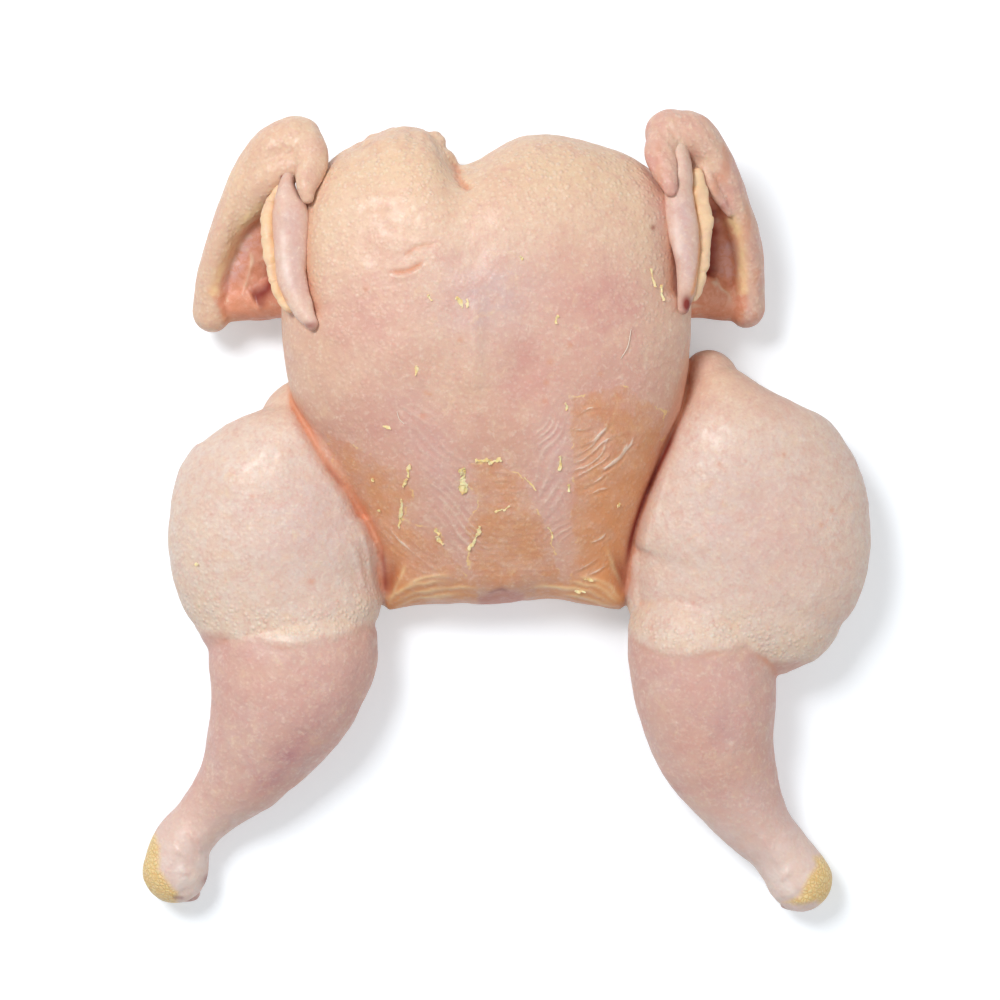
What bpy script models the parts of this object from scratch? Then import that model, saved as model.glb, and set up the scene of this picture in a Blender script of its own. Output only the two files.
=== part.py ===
"""A whole raw chicken, plucked and dressed, lying on its back with its legs spread flat.

One closed solid: the trunk with both breast lobes, two thighs, two drumsticks cut off at the hock,
and two folded wings. Run it with: blender --background --python part.py

Frame: +Z is up and is the breast side, +Y points to the neck end, +X to the viewer's right when
looking down on the breast. The origin is at the bottom centre of the bird's box, on the table.
Sizes are in millimetres until the points are handed to Blender.
"""

import bpy
import numpy as np

MM = 0.001

# Driving sizes.
TRUNK_LENGTH = 208.0
TRUNK_HALF_WIDTH = 89.0
BREAST_HEIGHT = 84.0
VENT_Y = -42.0
TO_BOX_CENTRE = (0.5, 2.0, 0.0)

# Modelling finish.
RINGS = 72
POINTS_ROUND = 48
CAP_RINGS = 5
TRUNK_RINGS = 40
TRUNK_END_RINGS = 24
TRUNK_POINTS_ROUND = 96
CURVE_SAMPLES = 400
JOIN_VOXEL = 2.2
SOFTEN_ROUNDS = 9
TRIANGLE_SHARE = 0.087
FLOOR_SIZE = 900.0

SKIN_COLOUR = (0.84, 0.64, 0.50, 1.0)
SKIN_ROUGHNESS = 0.45

# The trunk, from the vent to the neck. Columns: share of the length, share of the half width,
# middle's x, height of the widest line, height of the top as a share of the breast's.
TRUNK = [
    (0.00, 0.67, -2, 14, 0.46),
    (0.08, 0.66, -2, 18, 0.57),
    (0.18, 0.70, -3, 23, 0.70),
    (0.31, 0.83, -6, 28, 0.83),
    (0.42, 0.95, -8, 32, 0.91),
    (0.56, 1.00, -9, 36, 0.98),
    (0.69, 1.00, -9, 38, 1.00),
    (0.80, 1.00, -9, 38, 0.99),
    (1.00, 1.00, -9, 38, 0.95),
]

# How the trunk is rounded. The powers are those of superellipses: 2 is round, more is squarer. The
# section's powers shape its width, its breast side and its back side.
NECK_ROUNDING_START = 0.77
NECK_ROUNDING_POWER = 2.2
NECK_TOP_POWER = 0.7
NECK_BOTTOM_POWER = 0.6
VENT_ROUNDING_END = 0.07
VENT_ROUNDING_POWER = 2.5
VENT_NARROWING = 0.07
SECTION_WIDTH_POWER = 0.85
SECTION_BREAST_POWER = 0.8
SECTION_BACK_POWER = 0.7

# The notch between the two breast lobes at the neck end.
NECK_SHAPE_START_Y = 105.0
NECK_SHAPE_LENGTH = 55.0
NOTCH_X = -22.0
NOTCH_WIDTH_LEFT = 10.0
NOTCH_WIDTH_RIGHT = 22.0
NOTCH_DEPTH = 15.0
NOTCH_DIP = 5.0
LEFT_LOBE_X = -52.0
LEFT_LOBE_WIDTH = 24.0
LEFT_LOBE_REACH = 4.0
BACK_BELOW_TABLE = 2.0

# Limbs. Columns: x, y, z of the middle, half width, half height.
LIMBS = {
    "thigh_left": [
        (-91, 38, 22, 20, 20),
        (-94, 28, 25, 32, 26),
        (-98, 16, 27, 41, 28),
        (-103, 2, 28, 46, 29),
        (-103, -14, 28, 48, 29),
        (-101, -28, 27, 46, 28),
        (-98, -40, 26, 42, 27),
    ],
    "thigh_right": [
        (90, 56, 20, 13, 18),
        (94, 45, 24, 22, 24),
        (98, 32, 27, 38, 28),
        (103, 17, 28, 48, 29),
        (106, 1, 28, 53, 29),
        (107, -14, 28, 53.5, 29),
        (105.5, -26, 27, 51.5, 28),
        (102.5, -36, 26, 47.5, 27),
    ],
    "drumstick_left": [
        (-95, -38, 26, 35, 26),
        (-95, -57, 26, 37, 27),
        (-98, -74, 26, 36, 27),
        (-104, -91, 24, 31, 25),
        (-117, -115, 19, 21, 20),
        (-129, -129, 15, 15, 16),
        (-138, -139, 14, 12.5, 14),
        (-146, -149, 14, 13.5, 14.5),
        (-149, -161, 14, 15, 14.5),
    ],
    "drumstick_right": [
        (88, -36, 26, 33, 26),
        (87, -55, 26, 33, 27),
        (87, -71, 26, 32, 27),
        (89, -86, 25, 31, 26),
        (93, -106, 22, 27, 23),
        (102, -125, 18, 21, 19),
        (112, -141, 15, 15.5, 16),
        (121, -151, 14, 13.5, 14.5),
        (131, -166, 14, 14.5, 14.5),
    ],
    "upper_arm_left": [
        (-78, 102, 30, 15, 16),
        (-100, 97, 26, 11, 13),
        (-118, 93, 22, 9, 12),
        (-130, 92, 20, 8, 12),
    ],
    "upper_arm_right": [
        (62, 102, 30, 15, 16),
        (84, 97, 26, 11, 13),
        (97, 93, 22, 9, 12),
        (104, 92, 20, 8, 12),
    ],
    "forearm_left": [
        (-131, 92, 20, 9, 12),
        (-126, 108, 26, 12, 13),
        (-118, 126, 34, 14.5, 13),
        (-108, 142, 41, 16, 13),
        (-98, 155, 47, 17, 13),
    ],
    "forearm_right": [
        (104, 92, 20, 9, 12),
        (101, 108, 26, 11, 13),
        (95, 126, 34, 12.5, 13),
        (86, 145, 42, 14, 13),
        (76, 161, 49, 14, 13),
    ],
    "hand_left": [
        (-94, 156, 49, 14, 12),
        (-90, 143, 56, 11, 9),
        (-91, 125, 60, 9, 6.5),
        (-92, 108, 62, 8, 5.5),
        (-88, 93, 62, 5.5, 4.5),
        (-85, 83, 61, 2.5, 2.5),
    ],
    "hand_right": [
        (73, 161, 51, 13, 12),
        (73, 146, 57, 11, 9),
        (76, 128, 60, 9, 6.5),
        (78, 110, 61, 8, 5.5),
        (77, 95, 61, 5.5, 4.5),
        (75, 88, 60, 3.5, 3.5),
    ],
    "thumb_left": [(-85, 152, 58, 6, 5), (-83, 142, 61, 5, 4), (-84, 135, 63, 3.5, 3)],
    "thumb_right": [(67, 154, 58, 6, 5), (68, 146, 61, 5, 4), (70, 140, 63, 3.5, 3)],
    "web_left": [(-108, 100, 27, 15, 7), (-108, 120, 35, 14, 7), (-103, 140, 44, 12, 7)],
    "web_right": [(88, 100, 27, 12, 7), (88, 120, 35, 12, 7), (82, 142, 44, 10, 7)],
}


def clear_scene():
    """Removes the objects that a new file starts with."""
    for thing in list(bpy.data.objects):
        bpy.data.objects.remove(thing)


def smooth_rows(stations, count):
    """count rows read from the Catmull-Rom curve through the stations, evenly spaced in its parameter."""
    points = np.array(stations, float)
    last = len(points) - 1
    slope = np.gradient(points, axis=0)
    at = np.linspace(0, last, count)
    i = np.minimum(at.astype(int), last - 1)
    t = (at - i)[:, None]
    a, b = points[i], points[i + 1]
    return (
        a * (1 + 2 * t) * (1 - t) ** 2
        + b * t**2 * (3 - 2 * t)
        + slope[i] * t * (1 - t) ** 2
        - slope[i + 1] * t**2 * (1 - t)
    )


def power(values, exponent):
    """values to a power, keeping each one's sign."""
    return np.sign(values) * np.abs(values) ** exponent


def closed_grid(rings, first_pole, last_pole):
    """Points and faces of a tube of rings whose two ends are closed by a fan round a pole."""
    count, around = rings.shape[:2]
    points = np.concatenate([rings.reshape(-1, 3), [first_pole, last_pole]])
    index = np.arange(count * around).reshape(count, around)
    following = np.roll(index, -1, axis=1)
    quads = np.stack([index[:-1], following[:-1], following[1:], index[1:]], axis=-1).reshape(-1, 4)
    first, last = count * around, count * around + 1
    faces = quads.tolist()
    faces += [(int(b), int(a), first) for a, b in zip(index[0], following[0])]
    faces += [(int(a), int(b), last) for a, b in zip(index[-1], following[-1])]
    return points, faces


def limb_surface(stations):
    """An elliptic tube along a smooth path, with a rounded cap at each end.

    Each ring is middle + side * half width * cos(a) + lift * half height * sin(a). side is level and
    square to the path, lift is square to both, and a cap's rings shrink as a quarter circle.
    """
    rows = smooth_rows(stations, RINGS)
    middle, half = rows[:, :3], rows[:, 3:]
    along = np.gradient(middle, axis=0)
    along /= np.linalg.norm(along, axis=1)[:, None]
    turn = np.linspace(0, np.pi / 2, CAP_RINGS + 2)[1:-1]
    cap_out, cap_in = np.sin(turn), np.cos(turn)
    start = middle[0] - along[0] * half[0].mean() * cap_out[::-1, None]
    end = middle[-1] + along[-1] * half[-1].mean() * cap_out[:, None]
    start_half = half[0] * cap_in[::-1, None]
    end_half = half[-1] * cap_in[:, None]
    middle_all = np.concatenate([start, middle, end])
    half_all = np.concatenate([start_half, half, end_half])
    cap = (CAP_RINGS, 1)
    along_all = np.concatenate([np.tile(along[0], cap), along, np.tile(along[-1], cap)])
    side = np.cross(along_all, [0, 0, 1])
    side /= np.linalg.norm(side, axis=1)[:, None]
    lift = np.cross(side, along_all)
    a = np.linspace(0, 2 * np.pi, POINTS_ROUND, endpoint=False)[None, :, None]
    rings = (
        middle_all[:, None]
        + side[:, None] * half_all[:, None, :1] * np.cos(a)
        + lift[:, None] * half_all[:, None, 1:] * np.sin(a)
    )
    first = middle[0] - along[0] * half[0].mean()
    last = middle[-1] + along[-1] * half[-1].mean()
    return closed_grid(rings, first, last)


def bell(values, middle, width):
    """1 at the middle, falling off as exp(-((values - middle) / width) squared)."""
    return np.exp(-(((values - middle) / width) ** 2))


def trunk_surface():
    """The trunk: superelliptic cross-sections along Y, rounded off at both ends.

    The half width follows the stations and falls as a superellipse over the last stretch to the
    neck. At the vent only the height falls, which leaves a soft lip. Two bell curves across X pull
    the neck end back into a notch and push the left lobe out.
    """
    ends = np.sin(np.linspace(0, np.pi / 2, TRUNK_END_RINGS))
    share = np.concatenate(
        [
            VENT_ROUNDING_END * (1 - ends[:0:-1]),
            np.linspace(VENT_ROUNDING_END, NECK_ROUNDING_START, TRUNK_RINGS),
            NECK_ROUNDING_START + (1 - NECK_ROUNDING_START) * ends[1:-1],
        ]
    )
    table = smooth_rows(TRUNK, CURVE_SAMPLES)
    width, middle, widest, top = (np.interp(share, table[:, 0], table[:, k]) for k in (1, 2, 3, 4))
    t = np.clip((share - NECK_ROUNDING_START) / (1 - NECK_ROUNDING_START), 0, 1)
    neck = (1 - t**NECK_ROUNDING_POWER) ** (1 / NECK_ROUNDING_POWER)
    before_vent = np.clip(1 - share / VENT_ROUNDING_END, 0, 1)
    vent = (1 - before_vent**VENT_ROUNDING_POWER) ** (1 / VENT_ROUNDING_POWER)
    width = width * neck * TRUNK_HALF_WIDTH * (1 - VENT_NARROWING * (1 - vent))
    top = widest + (top * BREAST_HEIGHT - widest) * neck**NECK_TOP_POWER * vent
    bottom = widest - (widest + BACK_BELOW_TABLE) * neck**NECK_BOTTOM_POWER * vent
    y = VENT_Y + share * TRUNK_LENGTH
    a = np.linspace(0, 2 * np.pi, TRUNK_POINTS_ROUND, endpoint=False)
    c, s = np.cos(a), np.sin(a)
    x = middle[:, None] + width[:, None] * power(c, SECTION_WIDTH_POWER)
    above = (top - widest)[:, None] * power(np.maximum(s, 0), SECTION_BREAST_POWER)
    below = (widest - bottom)[:, None] * power(np.minimum(s, 0), SECTION_BACK_POWER)
    z = widest[:, None] + above + below
    near_neck = np.clip((y - NECK_SHAPE_START_Y) / NECK_SHAPE_LENGTH, 0, 1)[:, None] ** 2
    notch = bell(x, NOTCH_X, np.where(x < NOTCH_X, NOTCH_WIDTH_LEFT, NOTCH_WIDTH_RIGHT))
    reach = LEFT_LOBE_REACH * bell(x, LEFT_LOBE_X, LEFT_LOBE_WIDTH) - NOTCH_DEPTH * notch
    dip = np.where(s > 0, NOTCH_DIP, 0) * notch * near_neck
    rings = np.stack([x, y[:, None] + reach * near_neck, z - dip], axis=-1)
    return closed_grid(rings, rings[0].mean(axis=0), rings[-1].mean(axis=0))


def joined(surfaces):
    """One list of points and one of faces for several closed surfaces."""
    points, faces, start = [], [], 0
    for more_points, more_faces in surfaces:
        points.append(more_points)
        faces += [[start + i for i in face] for face in more_faces]
        start += len(more_points)
    return (np.concatenate(points) + TO_BOX_CENTRE) * MM, faces


def skin_material():
    """Raw skin: pale pinkish cream, half glossy."""
    material = bpy.data.materials.new("raw_skin")
    material.use_nodes = True
    shader = material.node_tree.nodes["Principled BSDF"]
    shader.inputs["Base Color"].default_value = SKIN_COLOUR
    shader.inputs["Roughness"].default_value = SKIN_ROUGHNESS
    material.diffuse_color = SKIN_COLOUR
    return material


def table_cutter():
    """A block whose top face is the table, which flattens what the bird rests on."""
    bpy.ops.mesh.primitive_cube_add(size=FLOOR_SIZE * MM, location=(0, 0, -FLOOR_SIZE / 2 * MM))
    block = bpy.context.object
    block.name = "table_cutter"
    block.hide_render = True
    block.display_type = "WIRE"
    return block


def build_chicken():
    """The bird: its parts joined into one even skin, softened, thinned out and set on the table."""
    surfaces = [trunk_surface()] + [limb_surface(stations) for stations in LIMBS.values()]
    points, faces = joined(surfaces)
    mesh = bpy.data.meshes.new("chicken")
    mesh.from_pydata(points.tolist(), [], faces)
    mesh.materials.append(skin_material())
    chicken = bpy.data.objects.new("chicken", mesh)
    bpy.context.scene.collection.objects.link(chicken)

    join = chicken.modifiers.new("join", "REMESH")
    join.mode = "VOXEL"
    join.voxel_size = JOIN_VOXEL * MM
    soften = chicken.modifiers.new("soften", "SMOOTH")
    soften.iterations = SOFTEN_ROUNDS
    thin_out = chicken.modifiers.new("thin_out", "DECIMATE")
    thin_out.ratio = TRIANGLE_SHARE
    rest = chicken.modifiers.new("rest_on_table", "BOOLEAN")
    rest.operation = "DIFFERENCE"
    rest.object = table_cutter()
    mesh.shade_smooth()
    return chicken


def main():
    clear_scene()
    build_chicken()


main()
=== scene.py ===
"""The looks of a whole raw chicken that lies breast up with its wings folded and its legs spread.

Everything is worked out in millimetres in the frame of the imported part: +Z up out of the breast, +Y
to the neck end, the origin under the middle of the bird. Meshes are handed to Blender in metres.
"""

import bpy
import numpy as np
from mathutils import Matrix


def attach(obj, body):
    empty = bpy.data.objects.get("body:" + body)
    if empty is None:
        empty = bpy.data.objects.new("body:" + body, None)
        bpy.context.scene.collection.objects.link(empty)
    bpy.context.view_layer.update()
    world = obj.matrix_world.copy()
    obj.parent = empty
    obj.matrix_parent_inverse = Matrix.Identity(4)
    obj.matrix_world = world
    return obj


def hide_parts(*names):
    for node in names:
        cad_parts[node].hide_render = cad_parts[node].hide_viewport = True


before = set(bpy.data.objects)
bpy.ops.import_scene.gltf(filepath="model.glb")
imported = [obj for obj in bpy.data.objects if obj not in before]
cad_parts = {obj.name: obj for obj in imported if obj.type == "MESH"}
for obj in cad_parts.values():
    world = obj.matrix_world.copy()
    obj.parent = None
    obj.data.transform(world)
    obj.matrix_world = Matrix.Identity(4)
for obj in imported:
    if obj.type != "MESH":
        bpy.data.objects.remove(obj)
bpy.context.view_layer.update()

bl_info = {
    "name": "Raw chicken",
    "version": (1, 0, 0),
    "blender": (4, 5, 0),
    "location": "View3D > Sidebar > Raw chicken",
    "description": "Builds a whole raw chicken around its solid",
    "category": "Add Mesh",
}

MM = 0.001
NODE = "chicken"

# ---------------------------------------------------------------------------------------------
# Shapes: stations along each part
# ---------------------------------------------------------------------------------------------

# The trunk, from the vent to the neck. Columns: share of the length, share of the half width,
# middle's x, height of the widest line, height of the top as a share of the breast's.
TRUNK_LENGTH = 208.0
TRUNK_HALF_WIDTH = 89.5
BREAST_HEIGHT = 84.0
VENT_Y = -40.0
TRUNK = [
    (0.00, 0.67, -2, 14, 0.46),
    (0.08, 0.66, -2, 18, 0.57),
    (0.18, 0.70, -3, 23, 0.70),
    (0.31, 0.83, -6, 28, 0.83),
    (0.42, 0.95, -8, 32, 0.91),
    (0.56, 1.00, -9, 36, 0.98),
    (0.69, 1.00, -9, 38, 1.00),
    (0.80, 1.00, -9, 38, 0.99),
    (1.00, 1.00, -9, 38, 0.95),
]
NECK_ROUNDING_START = 0.77
NECK_ROUNDING_POWER = 2.2
VENT_ROUNDING_END = 0.07

# Limbs. Columns: x, y, z of the middle, half width, half height.
LIMBS = {
    "thigh_left": [
        (-90, 40, 22, 20, 20),
        (-93, 30, 25, 32, 26),
        (-97, 18, 27, 41, 28),
        (-102, 4, 28, 46, 29),
        (-102, -12, 28, 48, 29),
        (-100, -26, 27, 46, 28),
        (-97, -38, 26, 42, 27),
    ],
    "thigh_right": [
        (91, 58, 20, 13, 18),
        (95, 47, 24, 22, 24),
        (99, 34, 27, 38, 28),
        (104, 19, 28, 48, 29),
        (107, 3, 28, 53, 29),
        (107.5, -12, 28, 53.5, 29),
        (106, -24, 27, 51.5, 28),
        (103, -34, 26, 47.5, 27),
    ],
    "drumstick_left": [
        (-96, -38, 26, 28, 22),
        (-94, -55, 26, 37, 27),
        (-97, -72, 26, 36, 27),
        (-103, -89, 24, 31, 25),
        (-116, -113, 19, 21, 20),
        (-128, -127, 15, 15, 16),
        (-137, -137, 14, 12.5, 14),
        (-145, -147, 14, 13.5, 14.5),
        (-148, -159, 14, 15, 14.5),
    ],
    "drumstick_right": [
        (90, -36, 26, 26, 22),
        (87, -53, 26, 33, 27),
        (87, -69, 26, 32, 27),
        (89, -84, 25, 31, 26),
        (93, -104, 22, 27, 23),
        (102, -123, 18, 21, 19),
        (112, -139, 15, 15.5, 16),
        (121, -149, 14, 13.5, 14.5),
        (131, -163, 14, 14.5, 14.5),
    ],
    "groin_right": [(58, 0, 22, 6, 14), (57.5, -14, 21, 6, 13), (58, -28, 20, 6, 12), (60, -40, 20, 6, 12)],
    "shoulder_left": [(-60, 108, 32, 18, 20), (-72, 104, 29, 14, 15), (-80, 102, 27, 10, 11)],
    "shoulder_right": [(44, 108, 32, 18, 20), (56, 104, 29, 14, 15), (63, 102, 27, 10, 11)],
}

# Rounds of smoothing over the joined surfaces, and the rounds that find the hollows where shade is painted.
BODY_SOFTEN = 17
WING_SOFTEN = 7
HOLLOW_ROUNDS = 12
WING_HOLLOW_ROUNDS = 5


def length(name, description, millimetres):
    """A length property whose default is given in millimetres."""
    return bpy.props.FloatProperty(name=name, description=description, unit="LENGTH", default=millimetres * MM)


class ChickenSizes(bpy.types.PropertyGroup):
    """Sizes of the finish, and the light on it"""

    body_cell: length("Body cell", "Spacing of the points of the body's skin", 0.9)
    wing_cell: length("Wing cell", "Spacing of the points of the wings' skin", 0.85)
    thigh_edge: length("Thigh edge", "How far the thick skin of a thigh stands over the drumstick's", 0.7)
    wrinkle_height: length("Wrinkle height", "Height of the wrinkles of the belly", 0.55)
    flake_thickness: length("Flake thickness", "Thickness of the loose flakes of outer skin", 0.24)
    hair_width: length("Hair width", "Width of the hairs left on the skin", 0.32)
    key_power: bpy.props.FloatProperty(name="Key", description="Main lamp", unit="POWER", default=18)
    fill_power: bpy.props.FloatProperty(name="Fill", description="Lamp across from it", unit="POWER", default=5)
    sky: bpy.props.FloatProperty(name="Sky", description="Strength of the white surroundings", default=0.37)


def sizes():
    return bpy.context.scene.chicken_sizes


def smooth_rows(stations, count):
    """count rows of the smooth cubic curve through the stations, evenly spaced in its parameter."""
    points = np.array(stations, float)
    last = len(points) - 1
    slope = np.gradient(points, axis=0)
    at = np.linspace(0, last, count)
    i = np.minimum(at.astype(int), last - 1)
    t = (at - i)[:, None]
    a, b = points[i], points[i + 1]
    return (
        a * (1 + 2 * t) * (1 - t) ** 2
        + b * t**2 * (3 - 2 * t)
        + slope[i] * t * (1 - t) ** 2
        - slope[i + 1] * t**2 * (1 - t)
    )


def power(values, exponent):
    """values to a power, keeping each one's sign."""
    return np.sign(values) * np.abs(values) ** exponent


def bell(values, middle, width):
    """1 at the middle, falling off as exp(-((values - middle) / width) squared)."""
    return np.exp(-(((values - middle) / width) ** 2))


def ramp(values, low, high):
    """0 below low, 1 above high, and 3 t squared minus 2 t cubed between."""
    t = np.clip((values - low) / (high - low), 0, 1)
    return t * t * (3 - 2 * t)


def closed_grid(rings, first_pole, last_pole):
    """Points and faces of a tube of rings whose two ends are closed by a fan round a pole."""
    count, around = rings.shape[:2]
    points = np.concatenate([rings.reshape(-1, 3), [first_pole, last_pole]])
    index = np.arange(count * around).reshape(count, around)
    following = np.roll(index, -1, axis=1)
    quads = np.stack([index[:-1], following[:-1], following[1:], index[1:]], axis=-1).reshape(-1, 4)
    first = np.full(around, count * around)
    fans = np.concatenate(
        [
            np.stack([following[0], index[0], first], axis=-1),
            np.stack([index[-1], following[-1], first + 1], axis=-1),
        ]
    )
    return points, quads, fans


def tube(stations, rings=90, around=64, cap=8, squareness=1.0, lobes=0, lobe_depth=0.45):
    """A profile carried along a smooth path: an ellipse whose half width and height come from the stations.

    Each ring is middle + side * half width * cos(a) + lift * half height * sin(a), with cos and sin
    raised to squareness. side is level and square to the path and lift is square to both. The ends
    are rounded: a cap's rings shrink as a quarter circle. Lobes swell and pinch it along its length:
    the halves are multiplied by 1 - lobe_depth * (1 - |sin|) of that many uneven half waves.
    """
    rows = smooth_rows(stations, rings)
    if lobes:
        share = np.linspace(0, 1, rings)
        pinch = 1 - np.abs(np.sin(np.pi * lobes * (share + 0.02 * np.sin(17 * share) + 0.012 * np.sin(41 * share))))
        rows[:, 3:5] *= (1 - lobe_depth * pinch**1.5)[:, None]
    middle, half = rows[:, :3], rows[:, 3:5]
    along = np.gradient(middle, axis=0)
    along /= np.linalg.norm(along, axis=1)[:, None]
    turn = np.linspace(0, np.pi / 2, cap + 2)[1:-1]
    out, shrink = np.sin(turn)[:, None], np.cos(turn)[:, None]
    start_reach, end_reach = half[0].mean(), half[-1].mean()
    middle_all = np.concatenate(
        [middle[0] - along[0] * start_reach * out[::-1], middle, middle[-1] + along[-1] * end_reach * out]
    )
    half_all = np.concatenate([half[0] * shrink[::-1], half, half[-1] * shrink])
    along_all = np.concatenate([np.tile(along[0], (cap, 1)), along, np.tile(along[-1], (cap, 1))])
    side = np.cross(along_all, [0, 0, 1])
    side /= np.linalg.norm(side, axis=1)[:, None]
    lift = np.cross(side, along_all)
    a = np.linspace(0, 2 * np.pi, around, endpoint=False)[None, :, None]
    points = (
        middle_all[:, None]
        + side[:, None] * half_all[:, None, :1] * power(np.cos(a), squareness)
        + lift[:, None] * half_all[:, None, 1:] * power(np.sin(a), squareness)
    )
    return closed_grid(points, middle[0] - along[0] * start_reach, middle[-1] + along[-1] * end_reach)


def trunk_surface():
    """The trunk: superelliptic cross-sections along Y, rounded off at both ends.

    The half width follows the stations and falls as a superellipse over the last stretch to the
    neck. At the vent only the height falls, which leaves a soft lip.
    """
    ends = np.sin(np.linspace(0, np.pi / 2, 40))
    share = np.concatenate([0.07 * (1 - ends[:0:-1]), np.linspace(0.07, 0.77, 110), 0.77 + 0.23 * ends[1:-1]])
    table = smooth_rows(TRUNK, 400)
    width, middle, widest, top = (np.interp(share, table[:, 0], table[:, k]) for k in (1, 2, 3, 4))
    t = np.clip((share - NECK_ROUNDING_START) / (1 - NECK_ROUNDING_START), 0, 1)
    neck = (1 - t**NECK_ROUNDING_POWER) ** (1 / NECK_ROUNDING_POWER)
    vent = (1 - np.clip(1 - share / VENT_ROUNDING_END, 0, 1) ** 2.5) ** (1 / 2.5)
    width = width * neck * TRUNK_HALF_WIDTH * (0.93 + 0.07 * vent)
    top = widest + (top * BREAST_HEIGHT - widest) * neck**0.7 * vent
    bottom = widest - (widest + 2) * neck**0.6 * vent
    y = VENT_Y + share * TRUNK_LENGTH
    a = np.linspace(0, 2 * np.pi, 220, endpoint=False)
    c, s = np.cos(a), np.sin(a)
    x = middle[:, None] + width[:, None] * power(c, 0.85)
    above = (top - widest)[:, None] * power(np.maximum(s, 0), 0.8)
    below = (widest - bottom)[:, None] * power(np.minimum(s, 0), 0.7)
    z = widest[:, None] + above + below
    near_neck = np.clip((y - 107) / 55, 0, 1)[:, None] ** 2
    notch = bell(x, -21.5, np.where(x < -21.5, 9, 21))
    reach = 4.5 * bell(x, -51, 24) - 15.5 * notch
    dip = np.where(s > 0, 5.0, 0) * notch * near_neck
    rings = np.stack([x, y[:, None] + reach * near_neck, z - dip], axis=-1)
    return closed_grid(rings, rings[0].mean(axis=0), rings[-1].mean(axis=0))


# ---------------------------------------------------------------------------------------------
# Whole-array helpers for relief and colour
# ---------------------------------------------------------------------------------------------


def lattice(cells, seed):
    """A number from -1 to 1 for each whole-number cell, by mixing its three indices as integers."""
    n = cells[..., 0] * 73856093 ^ cells[..., 1] * 19349663 ^ cells[..., 2] * 83492791 ^ seed * 2654435761
    n = (n ^ (n >> 13)) * 1274126177 & 0xFFFFFFFF
    return ((n ^ (n >> 16)) & 0xFFFF) / 32767.5 - 1


def noise(points, size, seed=1, octaves=1):
    """Value noise: random numbers on a lattice of the given size, blended by 3 t squared - 2 t cubed."""
    total, strength = 0.0, 1.0
    for octave in range(octaves):
        p = points / (size * 0.5**octave) + 100.0
        cell = np.floor(p).astype(np.int64)
        f = p - cell
        f = f * f * (3 - 2 * f)
        value = 0.0
        for dx in (0, 1):
            for dy in (0, 1):
                for dz in (0, 1):
                    weight = (
                        (f[:, 0] if dx else 1 - f[:, 0])
                        * (f[:, 1] if dy else 1 - f[:, 1])
                        * (f[:, 2] if dz else 1 - f[:, 2])
                    )
                    value = value + weight * lattice(cell + (dx, dy, dz), seed + octave)
        total = total + value * strength
        strength *= 0.5
    return total


def reach_of(points, path):
    """Each point's distance in plan from a broken line, and its share of the way along it."""
    p = points[:, None, :2]
    path = np.array(path, float)
    a, b = path[:-1, :2], path[1:, :2]
    span = b - a
    length = np.linalg.norm(span, axis=1)
    t = np.clip(((p - a) * span).sum(-1) / length**2, 0, 1)
    distance = np.linalg.norm(p - a - t[..., None] * span, axis=-1)
    nearest = distance.argmin(axis=1)
    rows = np.arange(len(points))
    start = np.concatenate([[0], np.cumsum(length)[:-1]])
    share = (start[nearest] + t[rows, nearest] * length[nearest]) / length.sum()
    return distance[rows, nearest], share


def stroke(points, path, width, taper=0.25):
    """A soft line on the skin: 1 on the broken line, falling as a bell across it and tapering to its ends."""
    line = smooth_rows(path, 4 * len(path)) if len(path) > 2 else path
    distance, share = reach_of(points, line)
    ends = ramp(share, 0, taper) * ramp(1 - share, 0, taper) if taper else 1.0
    return np.exp(-((distance / width) ** 2)) * ends


def blob(points, middle, radii, turn=0.0):
    """A soft oval patch in plan, turned by that many degrees: exp of minus its squared radius."""
    angle = np.radians(turn)
    d = points[:, :2] - np.array(middle[:2], float)
    u = d[:, 0] * np.cos(angle) + d[:, 1] * np.sin(angle)
    v = -d[:, 0] * np.sin(angle) + d[:, 1] * np.cos(angle)
    return np.exp(-((u / radii[0]) ** 2) - (v / radii[1]) ** 2)


def waves(points, heading, spacing, bend=2.0, seed=5):
    """Ripples that run along a heading in degrees, spacing apart, bent by noise: a sine from -1 to 1."""
    angle = np.radians(heading)
    across = -points[:, 0] * np.sin(angle) + points[:, 1] * np.cos(angle)
    return np.sin(2 * np.pi * (across + bend * noise(points, 14, seed)) / spacing)


# ---------------------------------------------------------------------------------------------
# Meshes
# ---------------------------------------------------------------------------------------------


def new_mesh(name, surfaces):
    """One mesh from several surfaces, each given as points in millimetres and arrays of faces."""
    points, faces, start = [], [], 0
    for surface in surfaces:
        points.append(surface[0])
        for part in surface[1:]:
            faces.extend((part + start).tolist())
        start += len(surface[0])
    mesh = bpy.data.meshes.new(name)
    mesh.from_pydata(np.concatenate(points) * MM, [], faces)
    mesh.shade_smooth()
    return mesh


def add_object(name, mesh):
    piece = bpy.data.objects.new(name, mesh)
    bpy.context.scene.collection.objects.link(piece)
    return piece


def evaluated_copy(piece, name):
    """The piece's mesh with its modifiers applied; the piece itself is removed."""
    depsgraph = bpy.context.evaluated_depsgraph_get()
    mesh = bpy.data.meshes.new_from_object(piece.evaluated_get(depsgraph))
    mesh.name = name
    bpy.data.objects.remove(piece)
    return mesh


def fused(name, surfaces, voxel, soften):
    """Closed surfaces joined into one skin of even cells, whose meeting lines are then softened."""
    piece = add_object(name + "_parts", new_mesh(name, surfaces))
    join = piece.modifiers.new("join", "REMESH")
    join.mode = "VOXEL"
    join.voxel_size = voxel
    ease = piece.modifiers.new("soften", "SMOOTH")
    ease.iterations = soften
    return evaluated_copy(piece, name)


def points_of(mesh):
    values = np.empty(len(mesh.vertices) * 3, np.float32)
    mesh.vertices.foreach_get("co", values)
    return values.reshape(-1, 3).astype(float) / MM


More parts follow.
